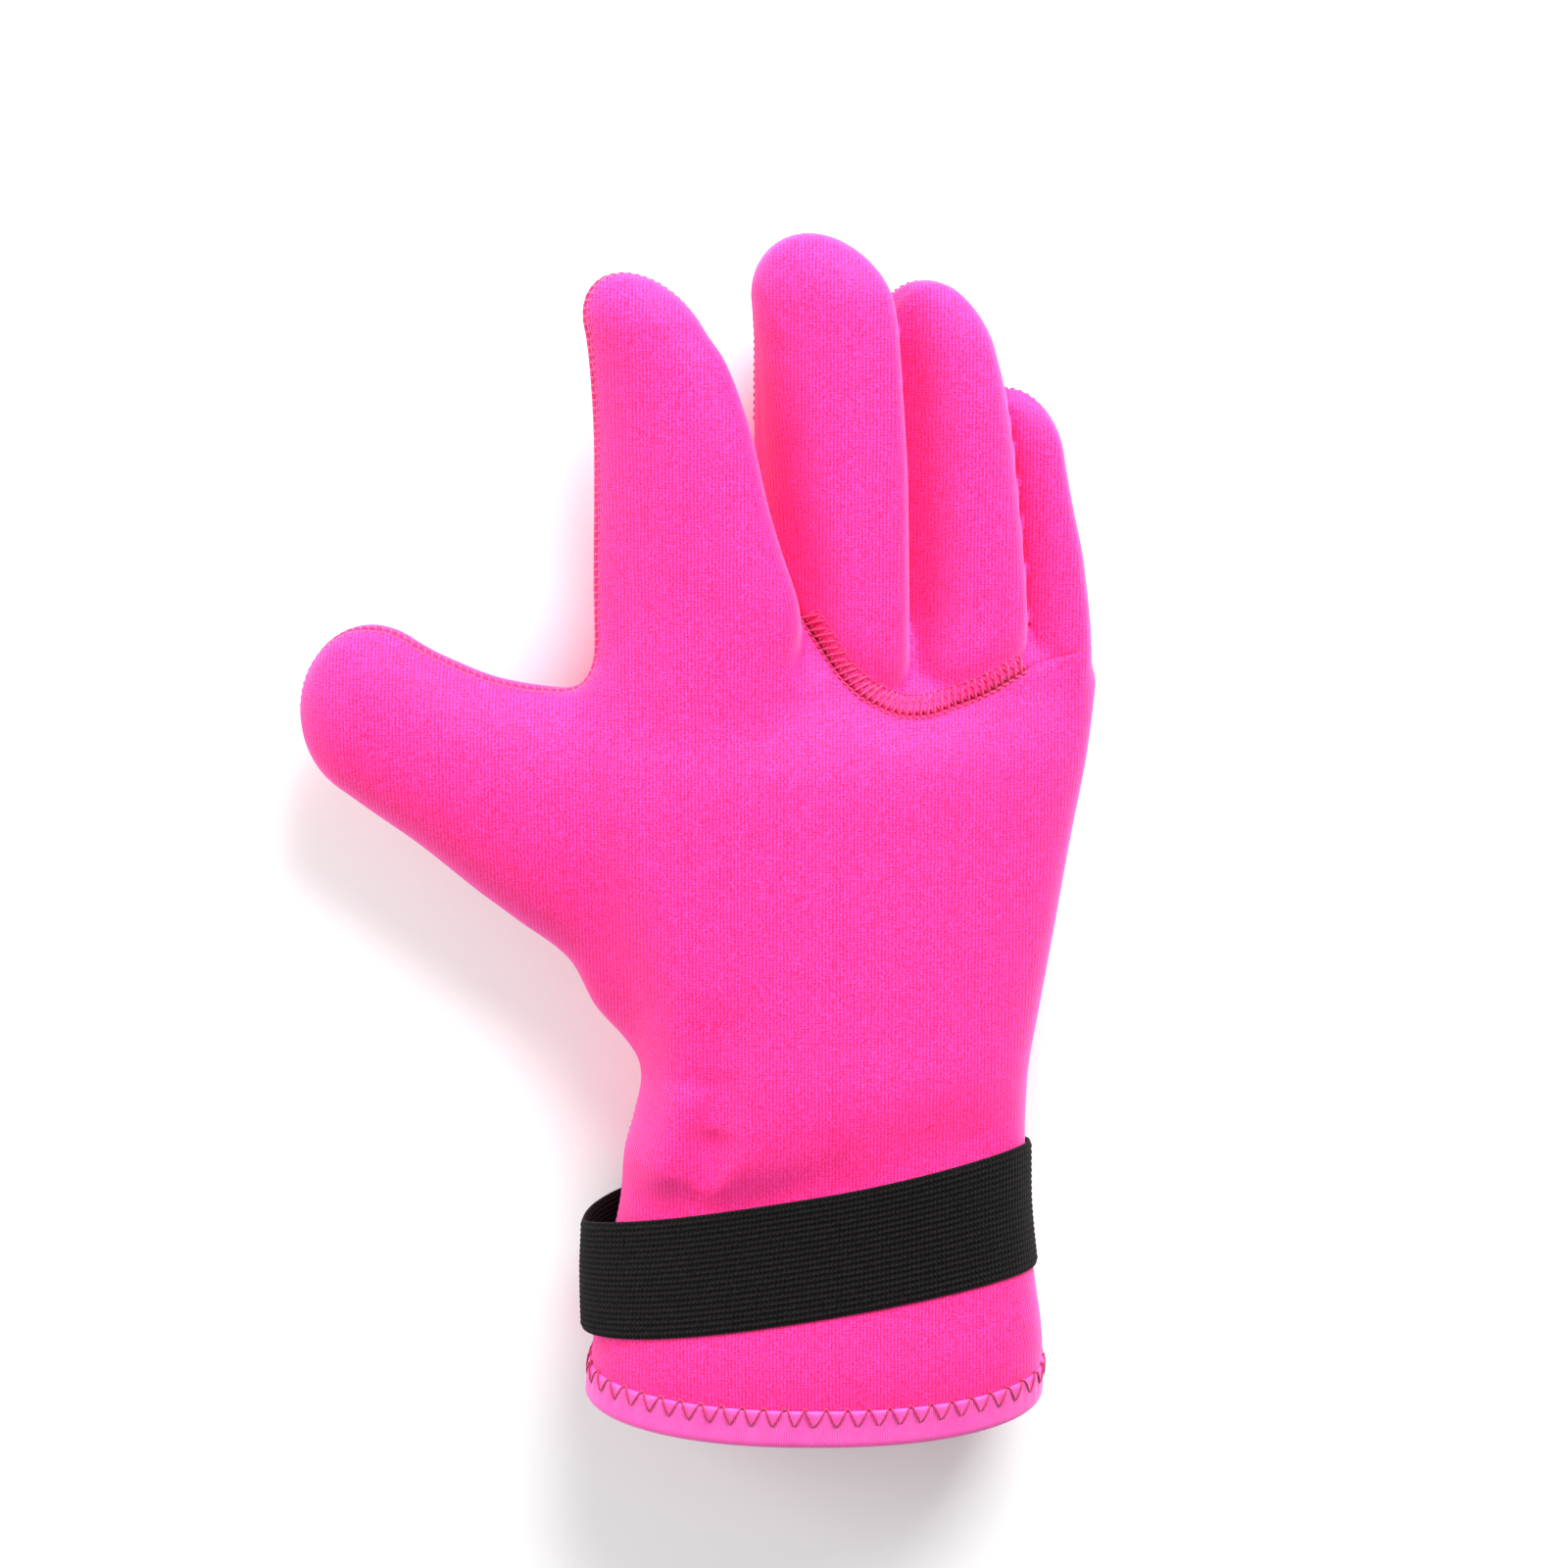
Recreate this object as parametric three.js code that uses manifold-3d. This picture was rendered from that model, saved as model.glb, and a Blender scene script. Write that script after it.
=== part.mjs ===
// A left-hand neoprene diving glove, lying on its back with the palm up.
// Millimetres. +X points to the little finger, +Y to the fingertips, +Z up from the palm.
// The hollow glove is one skin of rubber foam, parted along its seams into the panels that are sewn together.
import * as THREE from "three";
import Module from "manifold-3d";

// Cloth and seams
const WALL = 2.5; // thickness of the neoprene
const SEAM_GAP = 0.3; // between two panels that are sewn edge to edge
const FINGER_GAP = 0.8; // between two fingers that press against each other

// Hand part of the glove, from the cuff's edge to where the knuckles begin to round over
const PALM_LENGTH = 154.6;
const KNUCKLE_LENGTH = 16;
const CUFF_WIDTH = 95.6;
const WRIST_WIDTH = 80;
const PALM_WIDTH = 104;
const CUFF_HEIGHT = 44.8;
const WRIST_HEIGHT = 40;
const PALM_HEIGHT = 37;
const UNDERSIDE = 1.25; // the under side would bulge this much more, but lies flat where it rests
const CUFF_DIP = 4; // the cuff's edge reaches this much further out in the middle than at its sides

// Thumb and fingers, from a root inside the palm to the tip; direction in degrees from +X
const THUMB = { length: 99.4, width: 48, height: 28, direction: 153 };
const INDEX = { length: 105.3, width: 33.5, height: 22, direction: 90 };
const MIDDLE = { length: 113.1, width: 32.5, height: 20.5, direction: 90 };
const RING = { length: 104.5, width: 30, height: 19.5, direction: 90 };
const LITTLE = { length: 83, width: 26, height: 18, direction: 90 };
const FINGER_ROOT = 136.4; // from the cuff's edge to the four fingers' roots

// Binding folded over the cuff's edge
const BINDING_WIDTH = 7.6;
const BINDING_THICKNESS = 0.9;
const BINDING_CLEARANCE = 0.3;

// Elastic wrist strap
const STRAP_WIDTH = 26;
const STRAP_THICKNESS = 1.4;
const STRAP_CLEARANCE = 0.45;
const STRAP_FROM_CUFF = 35; // to the strap's centre line
const STRAP_SLOPE = 0.165; // it climbs towards the little finger
const STRAP_BOW = 4.5; // it is drawn towards the fingers in the middle of the palm side
const STRAP_LOOP = 6.5; // how far it stands off the glove at the thumb side

// Facets
const PALM_SIDES = 32;
const PALM_RINGS = 15;
const FINGER_SIDES = 16;
const HOLLOW_SIDES = 12; // round the hollow of a finger
const TUBE_RINGS = 6;
const TIP_RINGS = 4;

const RADIAN = Math.PI / 180;
const wasm = await Module();
wasm.setup();

// Sections of the hand part: share of PALM_LENGTH, middle as a share of PALM_WIDTH, then sizes.
// lift is the room under the neoprene that the binding and the strap take.
// lean is how much lower the palm lies at the little finger's side, as a share of PALM_HEIGHT.
const BOUND = BINDING_THICKNESS + BINDING_CLEARANCE;
const RAISED = STRAP_THICKNESS + STRAP_CLEARANCE;
const HAND = [
  { at: 0.0, middle: 0.0, width: CUFF_WIDTH, height: CUFF_HEIGHT, lift: BOUND, lean: 0 },
  { at: 0.086, middle: 0.008, width: 0.985 * CUFF_WIDTH, height: CUFF_HEIGHT, lift: RAISED, lean: 0 },
  { at: 0.188, middle: 0.011, width: 0.94 * CUFF_WIDTH, height: 0.94 * CUFF_HEIGHT, lift: RAISED, lean: 0 },
  { at: 0.289, middle: 0.019, width: 1.065 * WRIST_WIDTH, height: WRIST_HEIGHT, lift: RAISED, lean: 0 },
  { at: 0.365, middle: 0.024, width: 1.045 * WRIST_WIDTH, height: WRIST_HEIGHT, lift: RAISED, lean: 0.02 },
  { at: 0.421, middle: 0.035, width: 1.015 * WRIST_WIDTH, height: WRIST_HEIGHT, lift: BOUND, lean: 0.05 },
  { at: 0.482, middle: 0.045, width: WRIST_WIDTH, height: 1.02 * WRIST_HEIGHT, lift: 0, lean: 0.08 },
  { at: 0.553, middle: 0.048, width: 0.8 * PALM_WIDTH, height: 1.07 * PALM_HEIGHT, lift: 0, lean: 0.12 },
  { at: 0.655, middle: 0.045, width: 0.86 * PALM_WIDTH, height: 1.04 * PALM_HEIGHT, lift: 0, lean: 0.16 },
  { at: 0.797, middle: 0.044, width: 0.934 * PALM_WIDTH, height: PALM_HEIGHT, lift: 0, lean: 0.2 },
  { at: 0.909, middle: 0.052, width: 0.98 * PALM_WIDTH, height: 0.95 * PALM_HEIGHT, lift: 0, lean: 0.22 },
  { at: 1.0, middle: 0.058, width: PALM_WIDTH, height: 0.8 * PALM_HEIGHT, lift: 0, lean: 0.22 },
];

// Sections of the thumb and fingers. at is a share of the length, aside and width shares of the width,
// rise and height shares of the height; roll lifts the section's little-finger side, in degrees.
const THUMB_ROWS = [
  { at: 0.0, aside: -0.15, rise: 0.66, width: 1.46, height: 1.02, roll: 0 },
  { at: 0.14, aside: -0.08, rise: 0.66, width: 1.41, height: 1.06, roll: 0 },
  { at: 0.24, aside: -0.03, rise: 0.67, width: 1.22, height: 1.1, roll: 0 },
  { at: 0.38, aside: -0.02, rise: 0.68, width: 1.12, height: 1.08, roll: 0 },
  { at: 0.48, aside: -0.045, rise: 0.69, width: 0.99, height: 1.04, roll: 0 },
  { at: 0.63, aside: -0.06, rise: 0.71, width: 0.815, height: 0.97, roll: 0 },
  { at: 0.755, aside: -0.05, rise: 0.73, width: 0.75, height: 0.9, roll: 0 },
  { at: 0.835, aside: -0.03, rise: 0.75, width: 0.73, height: 0.85, roll: 0 },
  { at: 1.0, aside: 0.03, rise: 0.78, width: 0.74, height: 0.8, roll: 0 },
];
const INDEX_ROWS = [
  { at: 0.0, aside: 0.0, rise: 1.05, width: 1.23, height: 1.2, roll: 0 },
  { at: 0.17, aside: -0.04, rise: 1.08, width: 1.28, height: 1.16, roll: 6 },
  { at: 0.35, aside: -0.07, rise: 1.1, width: 1.29, height: 1.06, roll: 14 },
  { at: 0.456, aside: -0.12, rise: 1.12, width: 1.2, height: 1.0, roll: 18 },
  { at: 0.55, aside: -0.16, rise: 1.14, width: 1.11, height: 0.96, roll: 20 },
  { at: 0.7, aside: -0.214, rise: 1.18, width: 0.99, height: 0.9, roll: 20 },
  { at: 0.826, aside: -0.295, rise: 1.22, width: 0.85, height: 0.84, roll: 16 },
  { at: 0.893, aside: -0.375, rise: 1.25, width: 0.73, height: 0.78, roll: 12 },
  { at: 1.0, aside: -0.5, rise: 1.28, width: 0.66, height: 0.72, roll: 10 },
];
const MIDDLE_ROWS = [
  { at: 0.0, aside: 0.0, rise: 0.86, width: 1.02, height: 1.1, roll: 4 },
  { at: 0.22, aside: 0.0, rise: 0.94, width: 1.03, height: 1.1, roll: 14 },
  { at: 0.55, aside: -0.014, rise: 0.98, width: 1.05, height: 1.0, roll: 22 },
  { at: 0.716, aside: -0.026, rise: 1.04, width: 1.0, height: 0.95, roll: 22 },
  { at: 0.86, aside: -0.05, rise: 1.12, width: 0.94, height: 0.88, roll: 18 },
  { at: 1.0, aside: -0.14, rise: 1.18, width: 0.86, height: 0.8, roll: 14 },
];
const RING_ROWS = [
  { at: 0.0, aside: 0.0, rise: 0.72, width: 1.02, height: 1.1, roll: 4 },
  { at: 0.22, aside: 0.0, rise: 0.8, width: 1.04, height: 1.1, roll: 12 },
  { at: 0.344, aside: -0.003, rise: 0.79, width: 1.07, height: 1.0, roll: 18 },
  { at: 0.584, aside: -0.07, rise: 0.85, width: 1.05, height: 1.0, roll: 22 },
  { at: 0.756, aside: -0.123, rise: 0.94, width: 1.0, height: 0.94, roll: 22 },
  { at: 0.847, aside: -0.167, rise: 1.0, width: 0.92, height: 0.88, roll: 18 },
  { at: 1.0, aside: -0.26, rise: 1.08, width: 0.82, height: 0.8, roll: 14 },
];
const LITTLE_ROWS = [
  { at: 0.0, aside: -0.12, rise: 0.66, width: 0.75, height: 1.0, roll: 2 },
  { at: 0.12, aside: -0.01, rise: 0.64, width: 0.94, height: 1.06, roll: 5 },
  { at: 0.28, aside: 0.03, rise: 0.63, width: 1.0, height: 1.02, roll: 10 },
  { at: 0.53, aside: -0.054, rise: 0.66, width: 1.03, height: 1.0, roll: 18 },
  { at: 0.675, aside: -0.127, rise: 0.72, width: 1.0, height: 0.96, roll: 20 },
  { at: 0.795, aside: -0.173, rise: 0.8, width: 0.95, height: 0.92, roll: 18 },
  { at: 1.0, aside: -0.22, rise: 0.92, width: 0.85, height: 0.84, roll: 14 },
];

// Roots: x as a share of PALM_WIDTH, y from the cuff's edge. tip is the length of the rounded end,
// as a share of the width.
const TUBES = {
  thumb: { size: THUMB, rows: THUMB_ROWS, x: -0.157, y: 0.737 * PALM_LENGTH, tip: 0.34 },
  index: { size: INDEX, rows: INDEX_ROWS, x: -0.212, y: FINGER_ROOT, tip: 0.34 },
  middle: { size: MIDDLE, rows: MIDDLE_ROWS, x: 0.031, y: FINGER_ROOT, tip: 0.44 },
  ring: { size: RING, rows: RING_ROWS, x: 0.275, y: FINGER_ROOT, tip: 0.53 },
  little: { size: LITTLE, rows: LITTLE_ROWS, x: 0.428, y: FINGER_ROOT, tip: 0.6 },
};

// Soft folds of the palm side: ends as shares of PALM_WIDTH and PALM_LENGTH, height and width of WALL.
const FOLDS = [
  { name: "ridge, upper", x1: -0.43, y1: 1.0, x2: -0.4, y2: 0.705, height: 0.64, width: 2.0 },
  { name: "ridge, lower", x1: -0.36, y1: 0.614, x2: -0.2, y2: 0.411, height: 0.72, width: 2.4 },
  { name: "dip above the strap", x1: -0.3, y1: 0.391, x2: 0.36, y2: 0.431, height: -1.04, width: 2.0 },
  { name: "seam valley", x1: 0.0, y1: 1.051, x2: 0.2, y2: 0.98, height: -1.04, width: 2.0 },
  { name: "seam valley, outer", x1: 0.2, y1: 0.98, x2: 0.44, y2: 1.041, height: -0.88, width: 2.0 },
];

// Seam where the finger panel meets the palm, as shares of PALM_WIDTH and PALM_LENGTH.
const FINGER_SEAM = [
  { x: -0.2, y: 1.203 },
  { x: -0.023, y: 1.114 },
  { x: 0.015, y: 1.061 },
  { x: 0.063, y: 1.019 },
  { x: 0.122, y: 0.989 },
  { x: 0.2, y: 0.971 },
  { x: 0.298, y: 0.992 },
  { x: 0.366, y: 1.012 },
  { x: 0.422, y: 1.034 },
  { x: 0.7, y: 1.081 },
];

// Value of one column of a table at a place along it: cubic between rows.
function column(rows, name, at) {
  const last = rows.length - 1;
  if (at <= rows[0].at) return rows[0][name];
  if (at >= rows[last].at) return rows[last][name];
  const i = rows.findIndex((row) => row.at > at) - 1;
  const slope = (k) => {
    const before = rows[Math.max(k - 1, 0)];
    const after = rows[Math.min(k + 1, last)];
    return (after[name] - before[name]) / (after.at - before.at);
  };
  const span = rows[i + 1].at - rows[i].at;
  const t = (at - rows[i].at) / span;
  const start = rows[i][name] * (2 * t ** 3 - 3 * t ** 2 + 1) + span * slope(i) * (t ** 3 - 2 * t ** 2 + t);
  const end = rows[i + 1][name] * (3 * t ** 2 - 2 * t ** 3) + span * slope(i + 1) * (t ** 3 - t ** 2);
  return start + end;
}

// A sine or cosine drawn towards the corners, so that an ellipse becomes a little squarer.
const square = (value, power) => Math.sign(value) * Math.abs(value) ** power;

// Height that the folds add to the palm side at a place.
function folds(x, y) {
  let sum = 0;
  for (const fold of FOLDS) {
    const a = new THREE.Vector2(fold.x1 * PALM_WIDTH, fold.y1 * PALM_LENGTH);
    const b = new THREE.Vector2(fold.x2 * PALM_WIDTH, fold.y2 * PALM_LENGTH).sub(a);
    const p = new THREE.Vector2(x, y).sub(a);
    const t = THREE.MathUtils.clamp(p.dot(b) / b.lengthSq(), 0, 1);
    const away = p.sub(b.multiplyScalar(t)).length() / (fold.width * WALL);
    sum += fold.height * WALL * Math.exp(-(away ** 2));
  }
  return sum;
}

// Point on the hand part. along is in millimetres from the cuff's edge, grow moves the surface outwards,
// and a cut other than null replaces the lower half by a plane that much above the middle.
function handPoint(angle, along, grow, cut) {
  const at = Math.min(along / PALM_LENGTH, 1);
  const closing = THREE.MathUtils.clamp((along - PALM_LENGTH) / (KNUCKLE_LENGTH + grow), 0, 1);
  const dome = Math.sqrt(1 - closing ** 2);
  const lift = column(HAND, "lift", at);
  const height = column(HAND, "height", at);
  const across = square(Math.cos(angle), 0.88);
  let up = square(Math.sin(angle), 0.9);
  if (cut !== null && up < 1e-6) up = 0;
  const x = column(HAND, "middle", at) * PALM_WIDTH + across * dome * (column(HAND, "width", at) / 2 + grow);
  const under = up < 0 ? UNDERSIDE : 1;
  let z = lift + height / 2 + up * under * dome * (height / 2 + grow);
  z = Math.max(z, lift - grow);
  const share = (z - lift) / height;
  z -= column(HAND, "lean", at) * PALM_HEIGHT * across * dome * Math.max(share, 0);
  if (cut !== null && up === 0) z += cut;
  const edge = 1 - THREE.MathUtils.smoothstep(along, 0, 0.3 * PALM_LENGTH);
  const side = Math.sin(angle);
  const y = along + CUFF_DIP * (1 - side) * (1 + 0.3 * side) * edge;
  if (up > 0) z += folds(x, y) * Math.min(1, 1.6 * up);
  return [x, y, z];
}

// Point on the thumb or a finger, in the same terms.
function tubePoint(tube, angle, along, grow, cut) {
  const { size, rows, tip } = tube;
  const at = along / size.length;
  const tipLength = tip * size.width;
  const closing = THREE.MathUtils.clamp((along - size.length + tipLength) / (tipLength + grow), 0, 1);
  const dome = Math.sqrt(1 - closing ** 2);
  const across = square(Math.cos(angle), 0.95) * dome * ((column(rows, "width", at) * size.width) / 2 + grow);
  let up = square(Math.sin(angle), 0.95) * dome * ((column(rows, "height", at) * size.height) / 2 + grow);
  if (cut !== null && Math.sin(angle) < 1e-6) up = cut;
  const roll = column(rows, "roll", at) * RADIAN;
  const aside = column(rows, "aside", at) * size.width + across * Math.cos(roll) - up * Math.sin(roll);
  let z = column(rows, "rise", at) * size.height + across * Math.sin(roll) + up * Math.cos(roll);
  z = Math.max(z, -grow);
  const direction = size.direction * RADIAN;
  const x = tube.x * PALM_WIDTH + along * Math.cos(direction) + aside * Math.sin(direction);
  const y = tube.y + along * Math.sin(direction) - aside * Math.cos(direction);
  if (cut === null || up > 0) z += folds(x, y) * THREE.MathUtils.clamp(Math.sin(angle) * 1.6, 0, 1);
  return [x, y, z];
}

// Closed solid from rings of points, each ring closed on itself, the two ends filled from their middles.
function solid(rings) {
  const sides = rings[0].length;
  const points = rings.flat();
  const triangles = [];
  for (let r = 0; r + 1 < rings.length; r += 1) {
    for (let s = 0; s < sides; s += 1) {
      const a = r * sides + s;
      const b = r * sides + ((s + 1) % sides);
      triangles.push([a, b, b + sides], [a, b + sides, a + sides]);
    }
  }
  const caps = [rings[0], rings[rings.length - 1]];
  caps.forEach((ring, end) => {
    const centre = [0, 1, 2].map((k) => ring.reduce((sum, p) => sum + p[k], 0) / sides);
    const base = end === 0 ? 0 : (rings.length - 1) * sides;
    for (let s = 0; s < sides; s += 1) {
      const pair = [base + s, base + ((s + 1) % sides)];
      triangles.push(end === 0 ? [pair[1], pair[0], points.length] : [pair[0], pair[1], points.length]);
    }
    points.push(centre);
  });
  return facing(points, triangles);
}

// Closed ring of a profile that runs round the wrist: each station is a closed loop of points.
function ringSolid(stations) {
  const sides = stations[0].length;
  const triangles = [];
  for (let r = 0; r < stations.length; r += 1) {
    const next = (r + 1) % stations.length;
    for (let s = 0; s < sides; s += 1) {
      const t = (s + 1) % sides;
      triangles.push([r * sides + s, r * sides + t, next * sides + t]);
      triangles.push([r * sides + s, next * sides + t, next * sides + s]);
    }
  }
  return facing(stations.flat(), triangles);
}

// Solid from points and triangles, turned so that it faces out.
function facing(points, triangles) {
  let volume = 0;
  for (const [a, b, c] of triangles) {
    const [p, q, r] = [points[a], points[b], points[c]];
    volume += p[0] * (q[1] * r[2] - q[2] * r[1]) - p[1] * (q[0] * r[2] - q[2] * r[0]);
    volume += p[2] * (q[0] * r[1] - q[1] * r[0]);
  }
  const turned = volume < 0 ? triangles.map(([a, b, c]) => [a, c, b]) : triangles;
  const vertProperties = new Float32Array(points.flat());
  const triVerts = new Uint32Array(turned.flat());
  return new wasm.Manifold(new wasm.Mesh({ numProp: 3, vertProperties, triVerts }));
}

// Angles of points spaced evenly round a section, or round its upper half alone.
const circle = (sides) => Array.from({ length: sides }, (_, s) => (2 * Math.PI * s) / sides);
const arch = (sides) => Array.from({ length: sides / 2 + 1 }, (_, s) => (2 * Math.PI * s) / sides);

function handSolid(grow, cut, open) {
  const places = [];
  if (open > 0) places.push(-open);
  for (let r = 0; r <= PALM_RINGS; r += 1) places.push((PALM_LENGTH * r) / PALM_RINGS);
  for (let r = 1; r <= TIP_RINGS; r += 1) {
    places.push(PALM_LENGTH + (KNUCKLE_LENGTH + grow) * Math.sin(((r - 0.15) / TIP_RINGS) * Math.PI * 0.5));
  }
  const angles = cut === null ? circle(PALM_SIDES) : arch(PALM_SIDES);
  return solid(places.map((along) => angles.map((angle) => handPoint(angle, along, grow, cut))));
}

function tubeSolid(tube, grow, cut) {
  const tipLength = tube.tip * tube.size.width;
  const straight = tube.size.length - tipLength;
  const places = [-Math.max(grow, 0)];
  for (let r = 1; r <= TUBE_RINGS; r += 1) places.push((straight * r) / TUBE_RINGS);
  for (let r = 1; r <= TIP_RINGS; r += 1) {
    places.push(straight + (tipLength + grow) * Math.sin(((r - 0.15) / TIP_RINGS) * Math.PI * 0.5));
  }
  const sides = grow < 0 ? HOLLOW_SIDES : FINGER_SIDES;
  const angles = cut === null ? circle(sides) : arch(sides);
  return solid(places.map((along) => angles.map((angle) => tubePoint(tube, angle, along, grow, cut))));
}

// All tubes and the hand part as one solid. Each finger gives way to the neighbour that lies over it.
function gloveSolid(grow, cut, open, between) {
  const { thumb, index, middle, ring, little } = TUBES;
  const second = tubeSolid(middle, grow, cut).subtract(tubeSolid(index, between, null));
  const third = tubeSolid(ring, grow, cut).subtract(tubeSolid(middle, between, null));
  const fourth = tubeSolid(little, grow, cut).subtract(tubeSolid(ring, between, null));
  const first = tubeSolid(index, grow, cut);
  const palm = handSolid(grow, cut, open).add(tubeSolid(thumb, grow, cut));
  return palm.add(first).add(second).add(third).add(fourth);
}

// Upright block over the three fingers whose lower edge is the curved seam, moved down by a gap.
function fingerBlock(gap) {
  const edge = FINGER_SEAM.map(({ x, y }) => [x * PALM_WIDTH, y * PALM_LENGTH - gap]);
  const top = 1.9 * PALM_LENGTH;
  const outline = [...edge, [edge[edge.length - 1][0], top], [edge[0][0], top]];
  const shape = new THREE.Shape(outline.map(([x, y]) => new THREE.Vector2(x, y)));
  const faces = THREE.ShapeUtils.triangulateShape(shape.getPoints(), []);
  const count = outline.length;
  const heights = [-PALM_HEIGHT, 3 * PALM_HEIGHT];
  const points = heights.flatMap((z) => outline.map(([x, y]) => [x, y, z]));
  const triangles = faces.flatMap(([a, b, c]) => [[c, b, a], [a + count, b + count, c + count]]);
  for (let s = 0; s < count; s += 1) {
    const t = (s + 1) % count;
    triangles.push([s, t, t + count], [s, t + count, s + count]);
  }
  return facing(points, triangles);
}

const skin = gloveSolid(0, null, 0, FINGER_GAP).subtract(gloveSolid(-WALL, null, 2 * WALL, FINGER_GAP + WALL));
const palmHalf = gloveSolid(SEAM_GAP, SEAM_GAP / 2, 2 * WALL, FINGER_GAP / 2);
const palmHalfLow = gloveSolid(1.8 * SEAM_GAP, -SEAM_GAP / 2, 2.4 * WALL, (FINGER_GAP - SEAM_GAP) / 2);
const palmSide = skin.intersect(palmHalf);
const fingers = fingerBlock(0).subtract(tubeSolid(TUBES.index, 1.3 * SEAM_GAP, null));
const fingersAndGap = fingerBlock(SEAM_GAP).subtract(tubeSolid(TUBES.index, 0.3 * SEAM_GAP, null));

// Wrist strap: a flat elastic band, closed on itself.
function strapStation(angle) {
  const layers = [STRAP_CLEARANCE, STRAP_CLEARANCE + STRAP_THICKNESS];
  const shares = [-0.5, -0.25, 0, 0.25, 0.5];
  const loop = layers.map((grow, layer) => {
    const order = layer === 0 ? shares : [...shares].reverse();
    return order.map((share) => {
      const [x] = handPoint(angle, STRAP_FROM_CUFF, grow, null);
      const side = Math.sin(angle);
      const slope = STRAP_SLOPE * (1 - 0.7 * Math.max(-side, 0));
      const along = STRAP_FROM_CUFF + slope * x + STRAP_BOW * Math.max(side, 0) + share * STRAP_WIDTH;
      const point = handPoint(angle, along, grow, null);
      point[0] -= STRAP_LOOP * (0.65 + 0.7 * share) * Math.max(-Math.cos(angle), 0) ** 5;
      return point;
    });
  });
  return loop.flat();
}

// Cuff binding: a thin tape folded over the edge of the neoprene.
function bindingStation(angle) {
  const near = BINDING_CLEARANCE;
  const far = BINDING_CLEARANCE + BINDING_THICKNESS;
  const inside = 0.85 * BINDING_WIDTH;
  const profile = [
    [BINDING_WIDTH, far],
    [BINDING_WIDTH / 2, far],
    [0, far],
    [-0.75 * far, 0.45 * far],
    [-far, -0.3 * WALL],
    [-far, -0.7 * WALL],
    [-0.75 * far, -WALL - 0.45 * far],
    [0, -WALL - far],
    [inside, -WALL - far],
    [inside, -WALL - near],
    [-near, -WALL - near],
    [-near, near],
    [BINDING_WIDTH / 2, near],
    [BINDING_WIDTH, near],
  ];
  return profile.map(([along, grow]) => handPoint(angle, along, grow, null));
}

const MATERIALS = {
  pink: { color: "#f2419f", roughness: 0.75, metalness: 0 },
  pinkBack: { color: "#ee3f9a", roughness: 0.75, metalness: 0 },
  binding: { color: "#f573c4", roughness: 0.6, metalness: 0 },
  strap: { color: "#262324", roughness: 0.85, metalness: 0 },
};

function meshOf(name, body, look) {
  const data = body.getMesh();
  const geometry = new THREE.BufferGeometry();
  const positions = new Float32Array(data.numVert * 3);
  for (let v = 0; v < data.numVert; v += 1) {
    for (let k = 0; k < 3; k += 1) positions[3 * v + k] = data.vertProperties[v * data.numProp + k];
  }
  geometry.setAttribute("position", new THREE.BufferAttribute(positions, 3));
  geometry.setIndex(Array.from(data.triVerts));
  const mesh = new THREE.Mesh(geometry, new THREE.MeshStandardMaterial({ ...MATERIALS[look] }));
  mesh.name = name;
  return mesh;
}

const glove = new THREE.Group();
glove.name = "diving_glove";
glove.add(
  meshOf("palm_panel", palmSide.subtract(fingersAndGap), "pink"),
  meshOf("finger_front_panel", palmSide.intersect(fingers), "pink"),
  meshOf("back_panel", skin.subtract(palmHalfLow), "pinkBack"),
  meshOf("cuff_binding", ringSolid(circle(PALM_SIDES).map(bindingStation)), "binding"),
  meshOf("wrist_strap", ringSolid(circle(PALM_SIDES).map(strapStation)), "strap"),
);

// The middle of the under side of the bounding box is the origin.
const box = new THREE.Box3().setFromObject(glove);
glove.position.set(-(box.min.x + box.max.x) / 2, -(box.min.y + box.max.y) / 2, -box.min.z);

export default glove;
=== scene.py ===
# %% [markdown]
# # A neoprene diving glove, lying with its palm up
#
# The real thing is sewn from three flat pieces of jersey-faced rubber foam: one piece makes the palm,
# the index finger and the palm side of the thumb, a second the palm sides of the other three fingers,
# and a third the back. A stretch tape binds the cuff, and a loop of elastic runs round the wrist.
# Each cell below makes one of these, or one of its finishes. All sizes are millimetres until a mesh is made,
# and the camera, the lamps and the finishes are given in metres.

# %% Load the measured frame
import math

import bpy
import numpy as np
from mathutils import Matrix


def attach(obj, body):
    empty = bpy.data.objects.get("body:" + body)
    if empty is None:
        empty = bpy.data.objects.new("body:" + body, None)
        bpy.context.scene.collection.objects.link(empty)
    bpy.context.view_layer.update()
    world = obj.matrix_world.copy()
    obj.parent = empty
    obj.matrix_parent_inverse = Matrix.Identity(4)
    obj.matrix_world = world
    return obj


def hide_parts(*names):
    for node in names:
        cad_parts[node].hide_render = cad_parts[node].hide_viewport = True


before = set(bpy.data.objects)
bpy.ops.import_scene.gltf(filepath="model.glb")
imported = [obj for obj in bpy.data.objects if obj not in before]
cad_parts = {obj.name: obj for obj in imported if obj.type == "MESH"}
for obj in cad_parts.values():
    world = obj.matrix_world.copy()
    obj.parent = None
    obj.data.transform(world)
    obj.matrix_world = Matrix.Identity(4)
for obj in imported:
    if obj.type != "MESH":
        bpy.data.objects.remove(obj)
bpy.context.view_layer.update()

import openvdb

# from the sewing pattern's origin, at the middle of the cuff, to the frame's
PATTERN_SHIFT = np.array([24.1597, -124.1376, 0.0358])

# %% [markdown]
# ## Camera, floor and light
#
# The glove lies on a table and is seen from almost straight above. The camera stands 12 degrees off the
# upright, beyond the fingertips, which is why their rounded ends show. A large soft lamp above the fingers, a
# weaker one on the thumb's side and a bright pale room leave only faint shadows, as in a light tent.

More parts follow.
